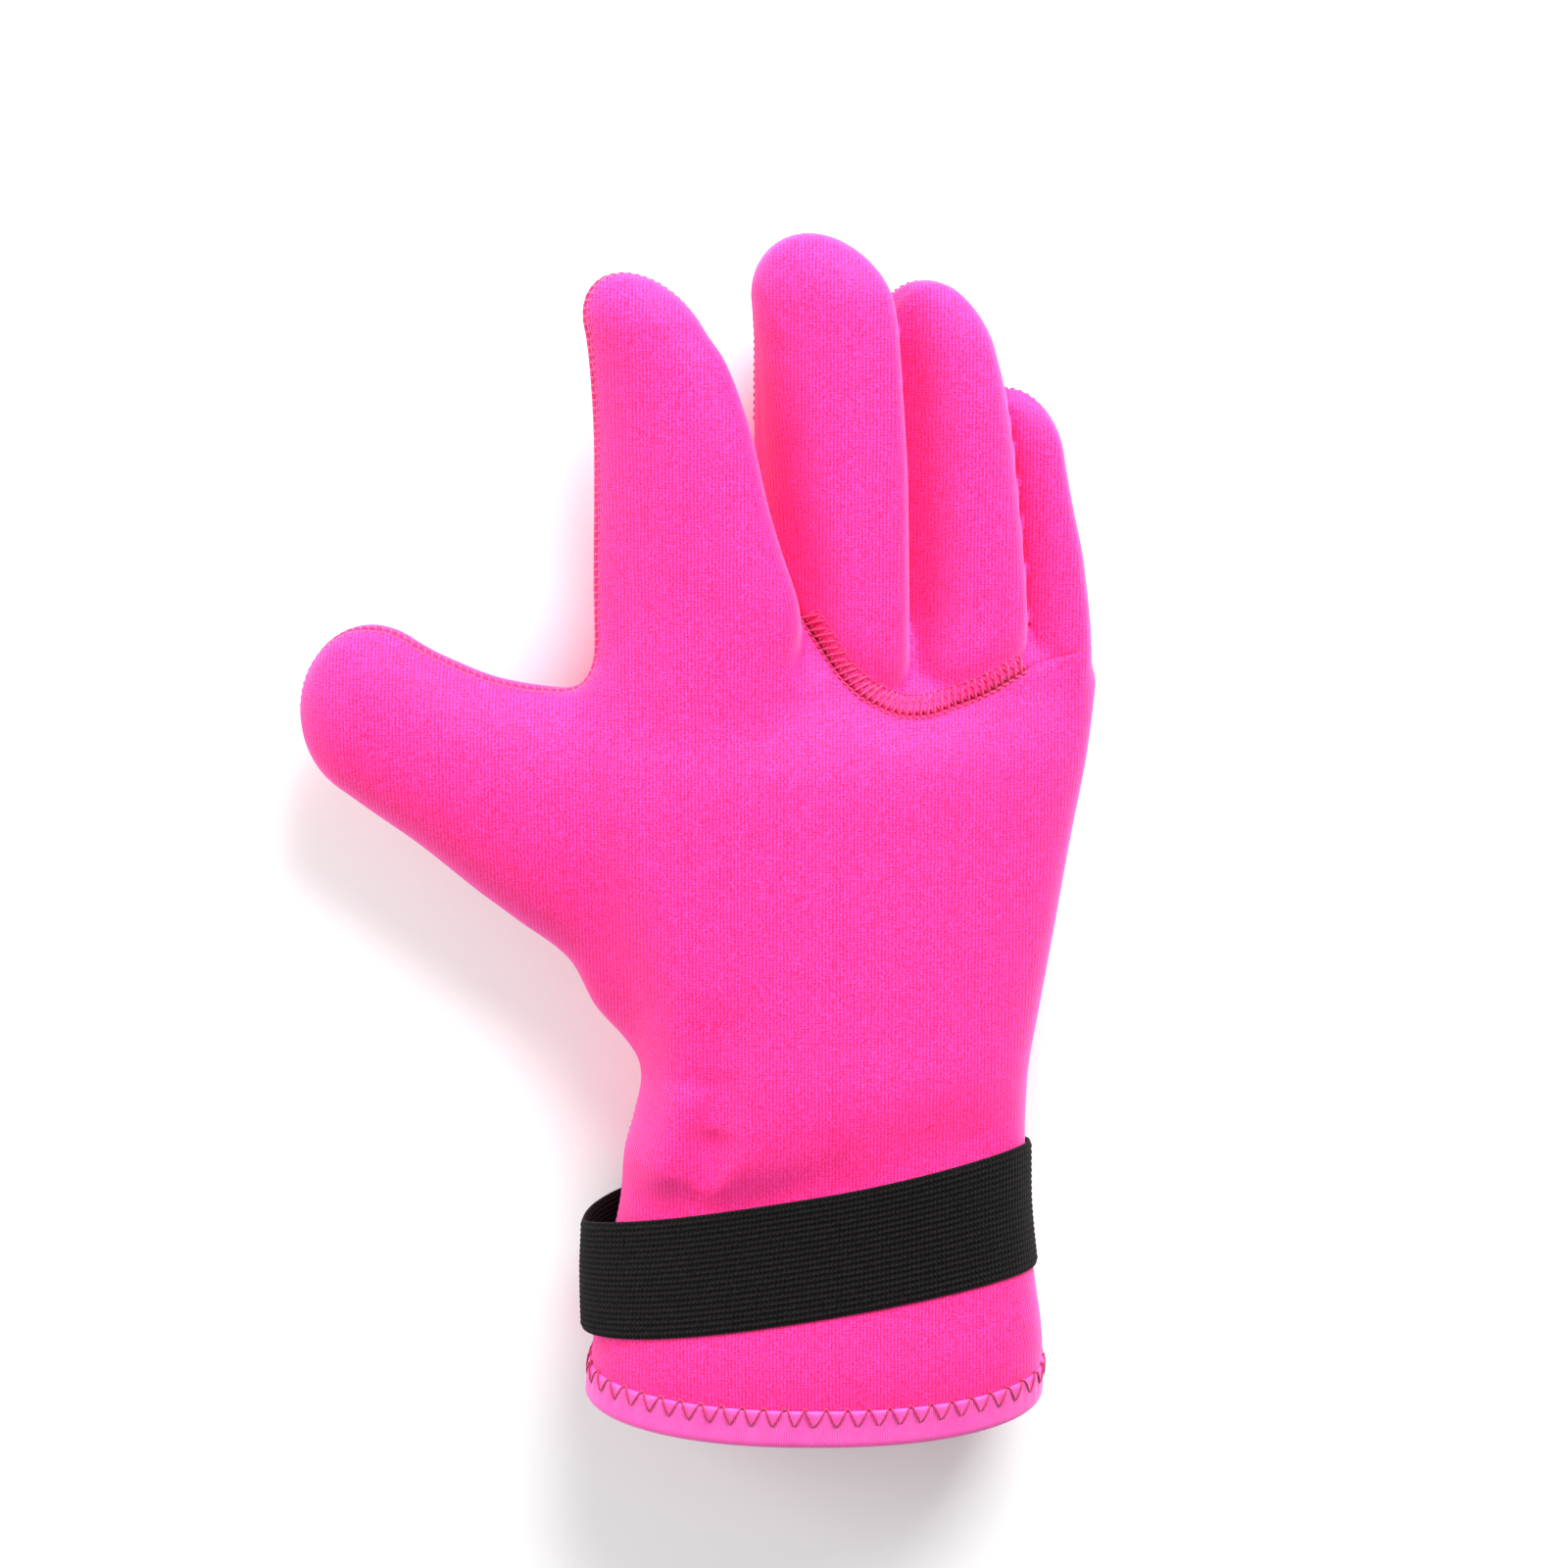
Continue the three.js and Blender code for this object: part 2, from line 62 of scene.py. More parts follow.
# %% Camera
CAMERA_TILT = -12
camera_data = bpy.data.cameras.new("camera")
camera_data.lens = 88.2
camera_data.sensor_width = 36
camera = bpy.data.objects.new("camera", camera_data)
camera.location = (0.017744, 0.177285, 0.802554)
camera.rotation_euler = (math.radians(CAMERA_TILT), 0, 0)
bpy.context.scene.collection.objects.link(camera)
bpy.context.scene.camera = camera
print("camera, metres above the table:", round(camera.location.z, 2))

# %% Lights
def soft_lamp(name, place, towards, size, power):
    """Rectangular lamp of a size in metres and a power in watts that looks towards a place."""
    data = bpy.data.lights.new(name, "AREA")
    data.shape = "RECTANGLE"
    data.size, data.size_y = size
    data.energy = power
    lamp = bpy.data.objects.new(name, data)
    away = np.array(place, float) - np.array(towards, float)
    away /= np.linalg.norm(away)
    lamp.location = place
    lamp.rotation_euler = (math.acos(away[2]), 0, math.atan2(away[0], -away[1]))
    bpy.context.scene.collection.objects.link(lamp)


soft_lamp("lamp_above_fingers", (0.24, 0.62, 0.44), towards=(0.02, 0.02, 0.02), size=(0.5, 0.4), power=12.0)
soft_lamp("lamp_from_thumb_side", (-0.7, 0.2, 0.45), towards=(0.0, 0.0, 0.02), size=(0.6, 0.6), power=5.0)
bpy.context.scene.view_settings.view_transform = "Standard"
world = bpy.data.worlds.new("pale_room")
bpy.context.scene.world = world
world.use_nodes = True
room = world.node_tree.nodes["Background"].inputs
room["Color"].default_value = (1.0, 1.0, 1.0, 1.0)
room["Strength"].default_value = 0.5
print("lamps:", len(bpy.data.lights), "and a pale room of strength", room["Strength"].default_value)

# %% [markdown]
# ## A small language for finishes
#
# A finish is a tree of shader nodes. One class lets sums on varying numbers be written as plain
# expressions, and one method adds every other kind of node.

# %% Node helpers
class Varying:
    """A number that varies over the surface. Sums on it add Math nodes."""

    def __init__(self, tree, socket):
        self.tree = tree
        self.socket = socket

    def _sum(self, operation, first, second=None):
        node = self.tree.nodes.new("ShaderNodeMath")
        node.operation = operation
        for slot, value in zip(node.inputs, (first, second)):
            if isinstance(value, Varying):
                self.tree.links.new(value.socket, slot)
            elif value is not None:
                slot.default_value = value
        return Varying(self.tree, node.outputs[0])

    def __add__(self, other):
        return self._sum("ADD", self, other)

    def __radd__(self, other):
        return self._sum("ADD", other, self)

    def __sub__(self, other):
        return self._sum("SUBTRACT", self, other)

    def __rsub__(self, other):
        return self._sum("SUBTRACT", other, self)

    def __mul__(self, other):
        return self._sum("MULTIPLY", self, other)

    def __truediv__(self, other):
        return self._sum("DIVIDE", self, other)

    def sine(self):
        return self._sum("SINE", self)

    def size(self):
        return self._sum("ABSOLUTE", self)

    def at_most(self, top):
        return self._sum("MINIMUM", self, top)

    def at_least(self, bottom):
        return self._sum("MAXIMUM", self, bottom)

    def as_share(self):
        return self.at_least(0.0).at_most(1.0)


class Finish:
    """A material and the nodes that make it."""

    made = []

    def __init__(self, name):
        self.made.append(name)
        self.material = bpy.data.materials.new(name)
        self.material.use_nodes = True
        self.tree = self.material.node_tree
        self.tree.nodes.clear()

    def add(self, kind, settings=None, inputs=None, out=0):
        node = self.tree.nodes.new(kind)
        for key, value in (settings or {}).items():
            setattr(node, key, value)
        for key, value in (inputs or {}).items():
            slot = node.inputs[key]
            if isinstance(value, Varying):
                self.tree.links.new(value.socket, slot)
            else:
                slot.default_value = value
        return Varying(self.tree, node.outputs[out]) if len(node.outputs) else None

    def parts(self, place):
        node = self.add("ShaderNodeSeparateXYZ", {}, {0: place}).socket.node
        return [Varying(self.tree, out) for out in node.outputs]

    def mix(self, share, first, second):
        return self.add("ShaderNodeMix", {"data_type": "RGBA"}, {0: share, 6: first, 7: second}, 2)

    def noise(self, place, scale, detail=2.0):
        return self.add("ShaderNodeTexNoise", {}, {"Vector": place, "Scale": scale, "Detail": detail})

    def bump(self, height, distance, strength):
        values = {"Height": height, "Distance": distance, "Strength": strength}
        return self.add("ShaderNodeBump", {}, values)

    def surface(self, **inputs):
        values = {key.replace("_", " "): value for key, value in inputs.items()}
        shader = self.add("ShaderNodeBsdfPrincipled", {}, values)
        self.add("ShaderNodeOutputMaterial", {}, {"Surface": shader})
        return self.material


def colour(red, green, blue):
    """Linear colour from the shares that a paint chart gives, each 0 to 255."""
    shares = np.array([red, green, blue]) / 255
    linear = np.where(shares <= 0.04045, shares / 12.92, ((shares + 0.055) / 1.055) ** 2.4)
    return (*[float(value) for value in linear], 1.0)


# %% Floor
FLOOR = 4  # half its width, metres
floor_mesh = bpy.data.meshes.new("floor")
floor_corners = [(-FLOOR, -FLOOR, 0), (FLOOR, -FLOOR, 0), (FLOOR, FLOOR, 0), (-FLOOR, FLOOR, 0)]
floor_mesh.from_pydata(floor_corners, [], [(0, 1, 2, 3)])
floor = bpy.data.objects.new("floor", floor_mesh)
bpy.context.scene.collection.objects.link(floor)
paper = Finish("white_paper")
paper_place = paper.add("ShaderNodeTexCoord", {}, {}, "Object")
paper_tone = paper.mix(paper.noise(paper_place, 3.0), (0.93, 0.93, 0.93, 1), (0.96, 0.96, 0.96, 1))
floor_mesh.materials.append(paper.surface(Base_Color=paper_tone, Roughness=0.9))
print("floor, metres across:", 2 * FLOOR)

# %% [markdown]
# ## The form of the hand
#
# The neoprene part could be lofted tube by tube, but then each finger would meet the palm in a hard line.
# Instead every tube is written as a distance: how far a place is outside or inside it. Distances can be
# blended, so the tubes run into each other as one sheet of foam does, and a seam, a fold or a wall is one
# more sum. The tables are the sewing pattern: the same sections that the solids were made from.

# %% Sizes of the pattern
WALL = 2.5
FINGER_GAP = 0.8
PALM_LENGTH = 154.6
KNUCKLE_LENGTH = 16
CUFF_WIDTH = 95.6
WRIST_WIDTH = 80
PALM_WIDTH = 104
CUFF_HEIGHT = 44.8
WRIST_HEIGHT = 40
PALM_HEIGHT = 37
UNDERSIDE = 1.25  # the half below the middle is this much deeper, and the table cuts it flat
CUFF_DIP = 4
FINGER_ROOT = 136.4
BINDING_WIDTH = 7.6
BINDING_THICKNESS = 0.9
BINDING_CLEARANCE = 0.3
STRAP_WIDTH = 26
STRAP_THICKNESS = 1.4
STRAP_CLEARANCE = 0.45
BOUND = BINDING_THICKNESS + BINDING_CLEARANCE
RAISED = STRAP_THICKNESS + STRAP_CLEARANCE
# exponents of the sections: under 1, an ellipse is drawn towards its corners
FULL_ACROSS = 0.88
FULL_UP = 0.9
FULL_TUBE = 0.95

# columns: place along, middle, width, height, lift off the table, lean towards the little finger
HAND = np.array([
    [0.0, 0.0, CUFF_WIDTH, CUFF_HEIGHT, BOUND, 0],
    [0.086, 0.008, 0.985 * CUFF_WIDTH, CUFF_HEIGHT, RAISED, 0],
    [0.188, 0.011, 0.94 * CUFF_WIDTH, 0.94 * CUFF_HEIGHT, RAISED, 0],
    [0.289, 0.019, 1.065 * WRIST_WIDTH, WRIST_HEIGHT, RAISED, 0],
    [0.365, 0.024, 1.045 * WRIST_WIDTH, WRIST_HEIGHT, RAISED, 0.02],
    [0.421, 0.035, 1.015 * WRIST_WIDTH, WRIST_HEIGHT, BOUND, 0.05],
    [0.482, 0.045, WRIST_WIDTH, 1.02 * WRIST_HEIGHT, 0, 0.08],
    [0.553, 0.048, 0.8 * PALM_WIDTH, 1.07 * PALM_HEIGHT, 0, 0.12],
    [0.655, 0.045, 0.86 * PALM_WIDTH, 1.04 * PALM_HEIGHT, 0, 0.16],
    [0.797, 0.044, 0.934 * PALM_WIDTH, PALM_HEIGHT, 0, 0.2],
    [0.909, 0.052, 0.98 * PALM_WIDTH, 0.95 * PALM_HEIGHT, 0, 0.22],
    [1.0, 0.058, PALM_WIDTH, 0.8 * PALM_HEIGHT, 0, 0.22],
])
# direction in degrees from the little finger's side; tip is its rounded end's length as a share of the width;
# lean and drop, in millimetres, place the side seam
# columns: place along, aside, rise, width, height, roll in degrees
THUMB = dict(
    length=99.4, width=48, height=28, direction=153, x=-0.157, y=0.737 * PALM_LENGTH, tip=0.34,
    lean=3.0, drop=0.6, rows=np.array([
        [0.0, -0.15, 0.66, 1.46, 1.02, 0],
        [0.14, -0.08, 0.66, 1.41, 1.06, 0],
        [0.24, -0.03, 0.67, 1.22, 1.1, 0],
        [0.38, -0.02, 0.68, 1.12, 1.08, 0],
        [0.48, -0.045, 0.69, 0.99, 1.04, 0],
        [0.63, -0.06, 0.71, 0.815, 0.97, 0],
        [0.755, -0.05, 0.73, 0.75, 0.9, 0],
        [0.835, -0.03, 0.75, 0.73, 0.85, 0],
        [1.0, 0.03, 0.78, 0.74, 0.8, 0],
    ]),
)
INDEX = dict(
    length=105.3, width=33.5, height=22, direction=90, x=-0.212, y=FINGER_ROOT, tip=0.34,
    lean=-3.9, drop=0.8, rows=np.array([
        [0.0, 0.0, 1.05, 1.23, 1.2, 0],
        [0.17, -0.04, 1.08, 1.28, 1.16, 6],
        [0.35, -0.07, 1.1, 1.29, 1.06, 14],
        [0.456, -0.12, 1.12, 1.2, 1.0, 18],
        [0.55, -0.16, 1.14, 1.11, 0.96, 20],
        [0.7, -0.214, 1.18, 0.99, 0.9, 20],
        [0.826, -0.295, 1.22, 0.85, 0.84, 16],
        [0.893, -0.375, 1.25, 0.73, 0.78, 12],
        [1.0, -0.5, 1.28, 0.66, 0.72, 10],
    ]),
)
MIDDLE = dict(
    length=113.1, width=32.5, height=20.5, direction=90, x=0.031, y=FINGER_ROOT, tip=0.44,
    lean=-0.6, drop=3.4, rows=np.array([
        [0.0, 0.0, 0.86, 1.02, 1.1, 4],
        [0.22, 0.0, 0.94, 1.03, 1.1, 14],
        [0.55, -0.014, 0.98, 1.05, 1.0, 22],
        [0.716, -0.026, 1.04, 1.0, 0.95, 22],
        [0.86, -0.05, 1.12, 0.94, 0.88, 18],
        [1.0, -0.14, 1.18, 0.86, 0.8, 14],
    ]),
)
RING = dict(
    length=104.5, width=30, height=19.5, direction=90, x=0.275, y=FINGER_ROOT, tip=0.53,
    lean=-0.4, drop=4.0, rows=np.array([
        [0.0, 0.0, 0.72, 1.02, 1.1, 4],
        [0.22, 0.0, 0.8, 1.04, 1.1, 12],
        [0.344, -0.003, 0.79, 1.07, 1.0, 18],
        [0.584, -0.07, 0.85, 1.05, 1.0, 22],
        [0.756, -0.123, 0.94, 1.0, 0.94, 22],
        [0.847, -0.167, 1.0, 0.92, 0.88, 18],
        [1.0, -0.26, 1.08, 0.82, 0.8, 14],
    ]),
)
LITTLE = dict(
    length=83, width=26, height=18, direction=90, x=0.428, y=FINGER_ROOT, tip=0.6,
    lean=-0.4, drop=4.0, rows=np.array([
        [0.0, -0.12, 0.66, 0.75, 1.0, 2],
        [0.12, -0.01, 0.64, 0.94, 1.06, 5],
        [0.28, 0.03, 0.63, 1.0, 1.02, 10],
        [0.53, -0.054, 0.66, 1.03, 1.0, 18],
        [0.675, -0.127, 0.72, 1.0, 0.96, 20],
        [0.795, -0.173, 0.8, 0.95, 0.92, 18],
        [1.0, -0.22, 0.92, 0.85, 0.84, 14],
    ]),
)
TUBES = {"thumb": THUMB, "index": INDEX, "middle": MIDDLE, "ring": RING, "little": LITTLE}
sections = {name: len(tube["rows"]) for name, tube in TUBES.items()}
print("sections of the pattern:", {"hand": len(HAND)} | sections)


# %% Reading a table
def column(rows, k, at):
    """Column k of a table at any place along.

    A cubic runs through the rows, and its slope at a row is that between the row's neighbours.
    """
    places, values = rows[:, 0], rows[:, k]
    fine = np.linspace(0, 1, 801)
    before, after = np.r_[0, 0:len(rows) - 1], np.r_[1:len(rows), len(rows) - 1]
    slopes = (values[after] - values[before]) / (places[after] - places[before])
    i = np.clip(np.searchsorted(places, fine, side="right") - 1, 0, len(rows) - 2)
    span = places[i + 1] - places[i]
    t = (fine - places[i]) / span
    start = values[i] * (2 * t**3 - 3 * t**2 + 1) + span * slopes[i] * (t**3 - 2 * t**2 + t)
    end = values[i + 1] * (3 * t**2 - 2 * t**3) + span * slopes[i + 1] * (t**3 - t**2)
    return np.interp(at, fine, start + end).astype(np.float32)


def ease(t):
    """From nought to one with level ends: three squares less two cubes."""
    return t * t * (3 - 2 * t)


narrowest = float(column(HAND, 2, np.linspace(0, 1, 99)).min())
print("hand, millimetres wide at its narrowest:", round(narrowest, 1))


# %% [markdown]
# ## Distances
#
# A section is an ellipse that is drawn a little towards its corners. A place's share of the section's
# radius, less one, is nought on the surface. Divided by its own slope, it becomes a distance in
# millimetres. A soft union fills the corner between two tubes, as foam does, and a soft cut rounds an edge.

# %% The grid of places and the blends
CELL = 0.9
lowest = np.array([-110.0, -5.0, -3.0])
highest = np.array([62.0, 254.0, 52.0])
counts = np.ceil((highest - lowest) / CELL).astype(int)
xs, ys, zs = [(lowest[k] + CELL * np.arange(counts[k])).astype(np.float32) for k in range(3)]


def soft_union(a, b, reach):
    """Lower of two distances, with the corner between them filled over a reach."""
    near = np.maximum(reach - np.abs(a - b), 0) / reach
    return np.minimum(a, b) - near * near * (reach / 4)


def soft_cut(a, b, reach):
    """Higher of two distances, with the edge between them rounded over a reach."""
    near = np.maximum(reach - np.abs(a - b), 0) / reach
    return np.maximum(a, b) + near * near * (reach / 4)


def as_distance(share):
    """A share of a radius, less one, divided by its slope."""
    dx, dy, dz = np.gradient(share, CELL)
    slope = np.sqrt(dx * dx + dy * dy + dz * dz)
    return np.clip(share / np.maximum(slope, 0.01), -12, 12).astype(np.float32)


def content(field):
    """Cubic centimetres where a field is below nought."""
    return round(float((field < 0).sum()) * CELL**3 / 1000)


print("grid:", counts.tolist(), "cells of", CELL, "mm")


# %% The thumb and the fingers as distances
PLACES = (xs[:, None, None], ys[None, :, None], zs[None, None, :])


def tube_place(tube, x, y, z):
    """A place in a tube's own terms.

    Returns how far it is along the tube, and across and up in the rolled section there, then the section's
    half width, half height and roll.
    """
    turn = math.radians(tube["direction"])
    right, ahead = x - tube["x"] * PALM_WIDTH, y - tube["y"]
    along = right * math.cos(turn) + ahead * math.sin(turn)
    at = along / tube["length"]
    beside = right * math.sin(turn) - ahead * math.cos(turn) - column(tube["rows"], 1, at) * tube["width"]
    above = z - column(tube["rows"], 2, at) * tube["height"]
    width = column(tube["rows"], 3, at) * tube["width"] / 2
    height = column(tube["rows"], 4, at) * tube["height"] / 2
    roll = np.radians(column(tube["rows"], 5, at))
    across = beside * np.cos(roll) + above * np.sin(roll)
    up = above * np.cos(roll) - beside * np.sin(roll)
    return along, across, up, width, height, roll


def tube_distance(tube):
    """Share of the radius: the section's rounded ellipse and the closing of the tip are squared and added."""
    along, across, up, width, height, _ = tube_place(tube, *PLACES)
    tip = tube["tip"] * tube["width"]
    closing = np.clip((along - tube["length"] + tip) / tip, 0, 2)
    power = 2 / FULL_TUBE
    radius = (np.abs(across / width) ** power + np.abs(up / height) ** power) ** (2 / power)
    outside = as_distance(np.sqrt(radius + closing**2) - 1)
    outside = soft_cut(outside, -PLACES[2], 1.5)
    return np.maximum(outside, -along - 1.0).astype(np.float32)


def tube_seam(tube, x, y, z):
    """How far a place is on the back's side of the side seam.

    The seam's plane passes under the section's middle by the drop. It tilts by the lean, so that the seam
    shows on one side and hides on the other, and by what brings it to a rolled section's widest places.
    """
    _, across, up, width, height, roll = tube_place(tube, x, y, z)
    level = across / width * (tube["lean"] - height**2 / width * np.tan(roll)) - tube["drop"]
    return (level - up).astype(np.float32)


away = {name: tube_distance(tube) for name, tube in TUBES.items()}
print("tubes, cubic centimetres:", {name: content(field) for name, field in away.items()})


# %% The hand part as a distance
HAND_POWER = 2.25
HAND_SEAM = -3.0


def cuff_dip(side, along):
    """How far the cuff's edge is moved up the hand: most on the table's side, and less further along."""
    t = np.clip(along / (0.3 * PALM_LENGTH), 0, 1)
    return CUFF_DIP * (1 - side) * (1 + 0.3 * side) * (1 - ease(t))


def hand_place(x, y, z):
    """A place in the hand part's terms: the dip of the cuff's edge and the lean of the palm are undone.

    Returns how far it is along the hand and over the section's middle, the square of its share of the
    section's radius, and the section's lift off the table.
    """
    along = y + 0 * x + 0 * z
    for _ in range(2):
        at = np.clip(along / PALM_LENGTH, 0, 1)
        width, height = column(HAND, 2, at) / 2, column(HAND, 3, at) / 2
        across = (x - column(HAND, 1, at) * PALM_WIDTH) / width
        lift = column(HAND, 4, at)
        lean = column(HAND, 5, at) * PALM_HEIGHT * np.clip(across, -1.3, 1.3) / (2 * height)
        rise = z - lift
        up = (np.where(rise > 0, rise / (1 - lean), rise) - height) / height
        up = np.where(up < 0, up / UNDERSIDE, up)
        wide, high = np.abs(across) ** (2 / FULL_ACROSS), np.abs(up) ** (2 / FULL_UP)
        side = np.sign(up) * np.sqrt(high / np.maximum(wide + high, 1e-6))
        along = y - cuff_dip(side, along)
    return along, up * height, (wide + high) ** (2 / HAND_POWER), lift


hand_along, hand_up, hand_radius, hand_lift = hand_place(*PLACES)
hand_closing = np.clip((hand_along - PALM_LENGTH) / KNUCKLE_LENGTH, 0, 2)
away["hand"] = as_distance(np.sqrt(hand_radius + hand_closing**2) - 1)
away["hand"] = soft_cut(away["hand"], (hand_lift - PLACES[2]).astype(np.float32), 1.5)
print("hand, cubic centimetres:", content(away["hand"]))

# %% [markdown]
# ## Blending, folds and the hollow
#
# Each finger lies a little under its neighbour, so it is cut by that neighbour first. Past the line where the
# finger fronts are set in, the palm sinks, so that the fingers run down to that line. Then the tubes are
# blended into the palm. Folds are low ridges and dips along short lines, added on the palm side only. The
# hollow is the same form, a wall's thickness further in, and it is open at the cuff.

# %% Line where the finger fronts are set in
# the seam runs near these places, shares of the palm's width and length, as a smoothed line
FINGER_SEAM = np.array([
    [-0.2, 1.203], [-0.023, 1.114], [0.015, 1.061], [0.063, 1.019], [0.122, 0.989],
    [0.2, 0.971], [0.298, 0.992], [0.366, 1.012], [0.422, 1.034], [0.7, 1.081],
]) * [PALM_WIDTH, PALM_LENGTH]
SEAM_SMOOTHING = 4.8
seam_curve = np.interp(xs, FINGER_SEAM[:, 0], FINGER_SEAM[:, 1])
spread = 2 * round(SEAM_SMOOTHING / CELL) + 1
seam_curve = np.convolve(np.pad(seam_curve, spread // 2, mode="edge"), np.ones(spread) / spread, mode="valid")
seam_slope = np.gradient(seam_curve, CELL)
set_in = (seam_curve[:, None] - ys[None, :]) / np.sqrt(1 + seam_slope[:, None] ** 2)
set_in = set_in.astype(np.float32)[:, :, None]
print("lowest place of the front seam:", round(float(seam_curve.min()), 1))

# %% Blend the tubes
GIVE = 4.3
GIVE_REACH = 7.5
SINK = 6.5
SINK_REACH = 9
# how far the blends reach: of each tube with the palm, and of two fingers with each other
WEBS = {"thumb": 7, "index": 4, "middle": 4, "ring": 4, "little": 2.5}
CREASE = 1.5
planes = {name: tube_seam(tube, *PLACES) for name, tube in TUBES.items()}


def over_table(height, reach):
    """Nought below a height over the table, and one from a reach higher on."""
    return np.clip((PLACES[2] - height) / reach, 0, 1)


def give_way(lower, upper):
    """The lower finger's palm side sinks near its neighbour, as a bell curve of the distance.

    Then the neighbour cuts it.
    """
    near = np.exp(-((np.maximum(away[upper], 0) / GIVE_REACH) ** 2)) * np.clip(-planes[lower] / 4, 0, 1)
    return soft_cut(away[lower] + (GIVE * near).astype(np.float32), FINGER_GAP - away[upper], 1.0)


below = {
    "middle": give_way("middle", "index"),
    "ring": give_way("ring", "middle"),
    "little": give_way("little", "ring"),
}
past_seam = ease(np.clip(-set_in / SINK_REACH, 0, 1)) * over_table(14, 6)
hand = (away["hand"] + SINK * past_seam).astype(np.float32)
form = soft_union(soft_union(hand, away["thumb"], WEBS["thumb"]), away["index"], WEBS["index"])
fronts = soft_union(hand, below["middle"], WEBS["middle"])
for name in ("ring", "little"):
    fronts = soft_union(fronts, soft_union(hand, below[name], WEBS[name]), CREASE)
form = soft_union(form, fronts, CREASE)
print("blended form, cubic centimetres:", content(form))

# %% Folds
# a ridge from the crook of the thumb down towards the strap, a dip beside it that deepens, dips along the
# strap's upper edge, and two dips that meet at the lowest place of the finger seam
# columns: both ends of a fold as shares of PALM_WIDTH and PALM_LENGTH, height and width in walls
FOLDS = np.array([
    [-0.43, 1.0, -0.36, 0.8, 0.6, 3.0],
    [-0.36, 0.8, -0.27, 0.62, 0.6, 2.8],
    [-0.27, 0.62, -0.27, 0.46, 0.6, 2.2],
    [-0.27, 0.46, -0.31, 0.37, 1.1, 2.2],
    [-0.17, 0.56, -0.19, 0.48, -0.3, 2.2],
    [-0.19, 0.48, -0.2, 0.4, -0.7, 2.1],
    [-0.2, 0.4, -0.21, 0.3, -1.3, 2.0],
    [-0.18, 0.3, 0.05, 0.345, -1.8, 4.0],
    [0.05, 0.345, 0.3, 0.385, -1.4, 4.0],
    [0.0, 1.051, 0.2, 0.98, -0.8, 2.0],
    [0.2, 0.98, 0.44, 1.041, -0.7, 2.0],
])


def fold_height(x, y):
    """Highest ridge and deepest dip at a place. Each is a bell curve of the distance to its line."""
    ridge, dip = 0 * x + 0 * y, 0 * x + 0 * y
    for x1, y1, x2, y2, height, width in FOLDS:
        start = np.array([x1 * PALM_WIDTH, y1 * PALM_LENGTH])
        step = np.array([x2 * PALM_WIDTH, y2 * PALM_LENGTH]) - start
        t = np.clip(((x - start[0]) * step[0] + (y - start[1]) * step[1]) / (step @ step), 0, 1)
        off = np.hypot(x - start[0] - t * step[0], y - start[1] - t * step[1]) / (width * WALL)
        here = height * WALL * np.exp(-(off**2))
        ridge, dip = np.maximum(ridge, here), np.minimum(dip, here)
    return ridge + dip


form = (form - fold_height(PLACES[0], PLACES[1]) * over_table(17, 8)).astype(np.float32)
skin = soft_cut(np.abs(form + WALL / 2) - WALL / 2, -hand_along.astype(np.float32), 0.8)
print("neoprene, cubic centimetres:", content(skin))

# %% [markdown]
# ## Seams part the form into panels
#
# The side seam runs round the hand and each finger, and each tube has its own leaning plane for it. Where
# two tubes blend, their planes blend by nearness. The palm side is parted once more along the curve
# where the finger fronts are set in. Every cut leaves a rounded edge, so that a seam is a small groove. The
# edges lap over by a hair, which leaves no slit, and by more where the front seam fades at the little finger.

# %% Seam fields
LAP = 0.1
LITTLE_LAP = 0.6
LITTLE_FROM = 43.0
SEAM_EDGE = 0.9
HAND_YIELDS = 3


def nearness(distances):
    """Weights that favour the nearest of several forms smoothly, so that nothing jumps where two meet."""
    nearest = np.minimum.reduce(distances)
    pull = [np.exp((nearest - d) / 1.5) for d in distances]
    total = sum(pull)
    return [p / total for p in pull]


order = list(TUBES) + ["hand"]
seen_as = [below.get(name, away[name]) for name in TUBES] + [away["hand"] + HAND_YIELDS]
planes["hand"] = (HAND_SEAM - hand_up).astype(np.float32)
side_seam = sum(w * planes[name] for w, name in zip(nearness(seen_as), order)).astype(np.float32)

finger_seam = soft_cut(set_in, FINGER_GAP / 2 - away["index"], 1.0)
front_lap = np.interp(xs, [LITTLE_FROM, LITTLE_FROM + 3], [-LAP, -LITTLE_LAP])
front_lap = front_lap.astype(np.float32)[:, None, None]
palm_side = soft_cut(skin, side_seam - LAP, SEAM_EDGE)
palm_field = soft_cut(palm_side, front_lap - finger_seam, SEAM_EDGE)
finger_field = soft_cut(palm_side, finger_seam + front_lap, SEAM_EDGE)
back_field = soft_cut(skin, -LAP - side_seam, SEAM_EDGE)
print("panels, cubic centimetres:", content(palm_field), content(finger_field), content(back_field))


# %% From a field to a mesh
def sample(field, points):
    """Value of a field between its grid places: the eight neighbours, weighted by nearness."""
    t = np.clip((points - lowest) / CELL, 0, np.array(field.shape) - 1.001)
    i = t.astype(int)
    f = t - i
    total = 0
    for corner in np.ndindex(2, 2, 2):
        weight = np.prod(np.where(corner, f, 1 - f), axis=1)
        total = total + weight * field[tuple((i + corner).T)]
    return total


def slope_of(field, points, step=0.8):
    """Direction in which a field grows fastest, from differences over a small step."""
    steps = step * np.eye(3)
    growth = [sample(field, points + s) - sample(field, points - s) for s in steps]
    return np.stack(growth, axis=1) / (2 * step)


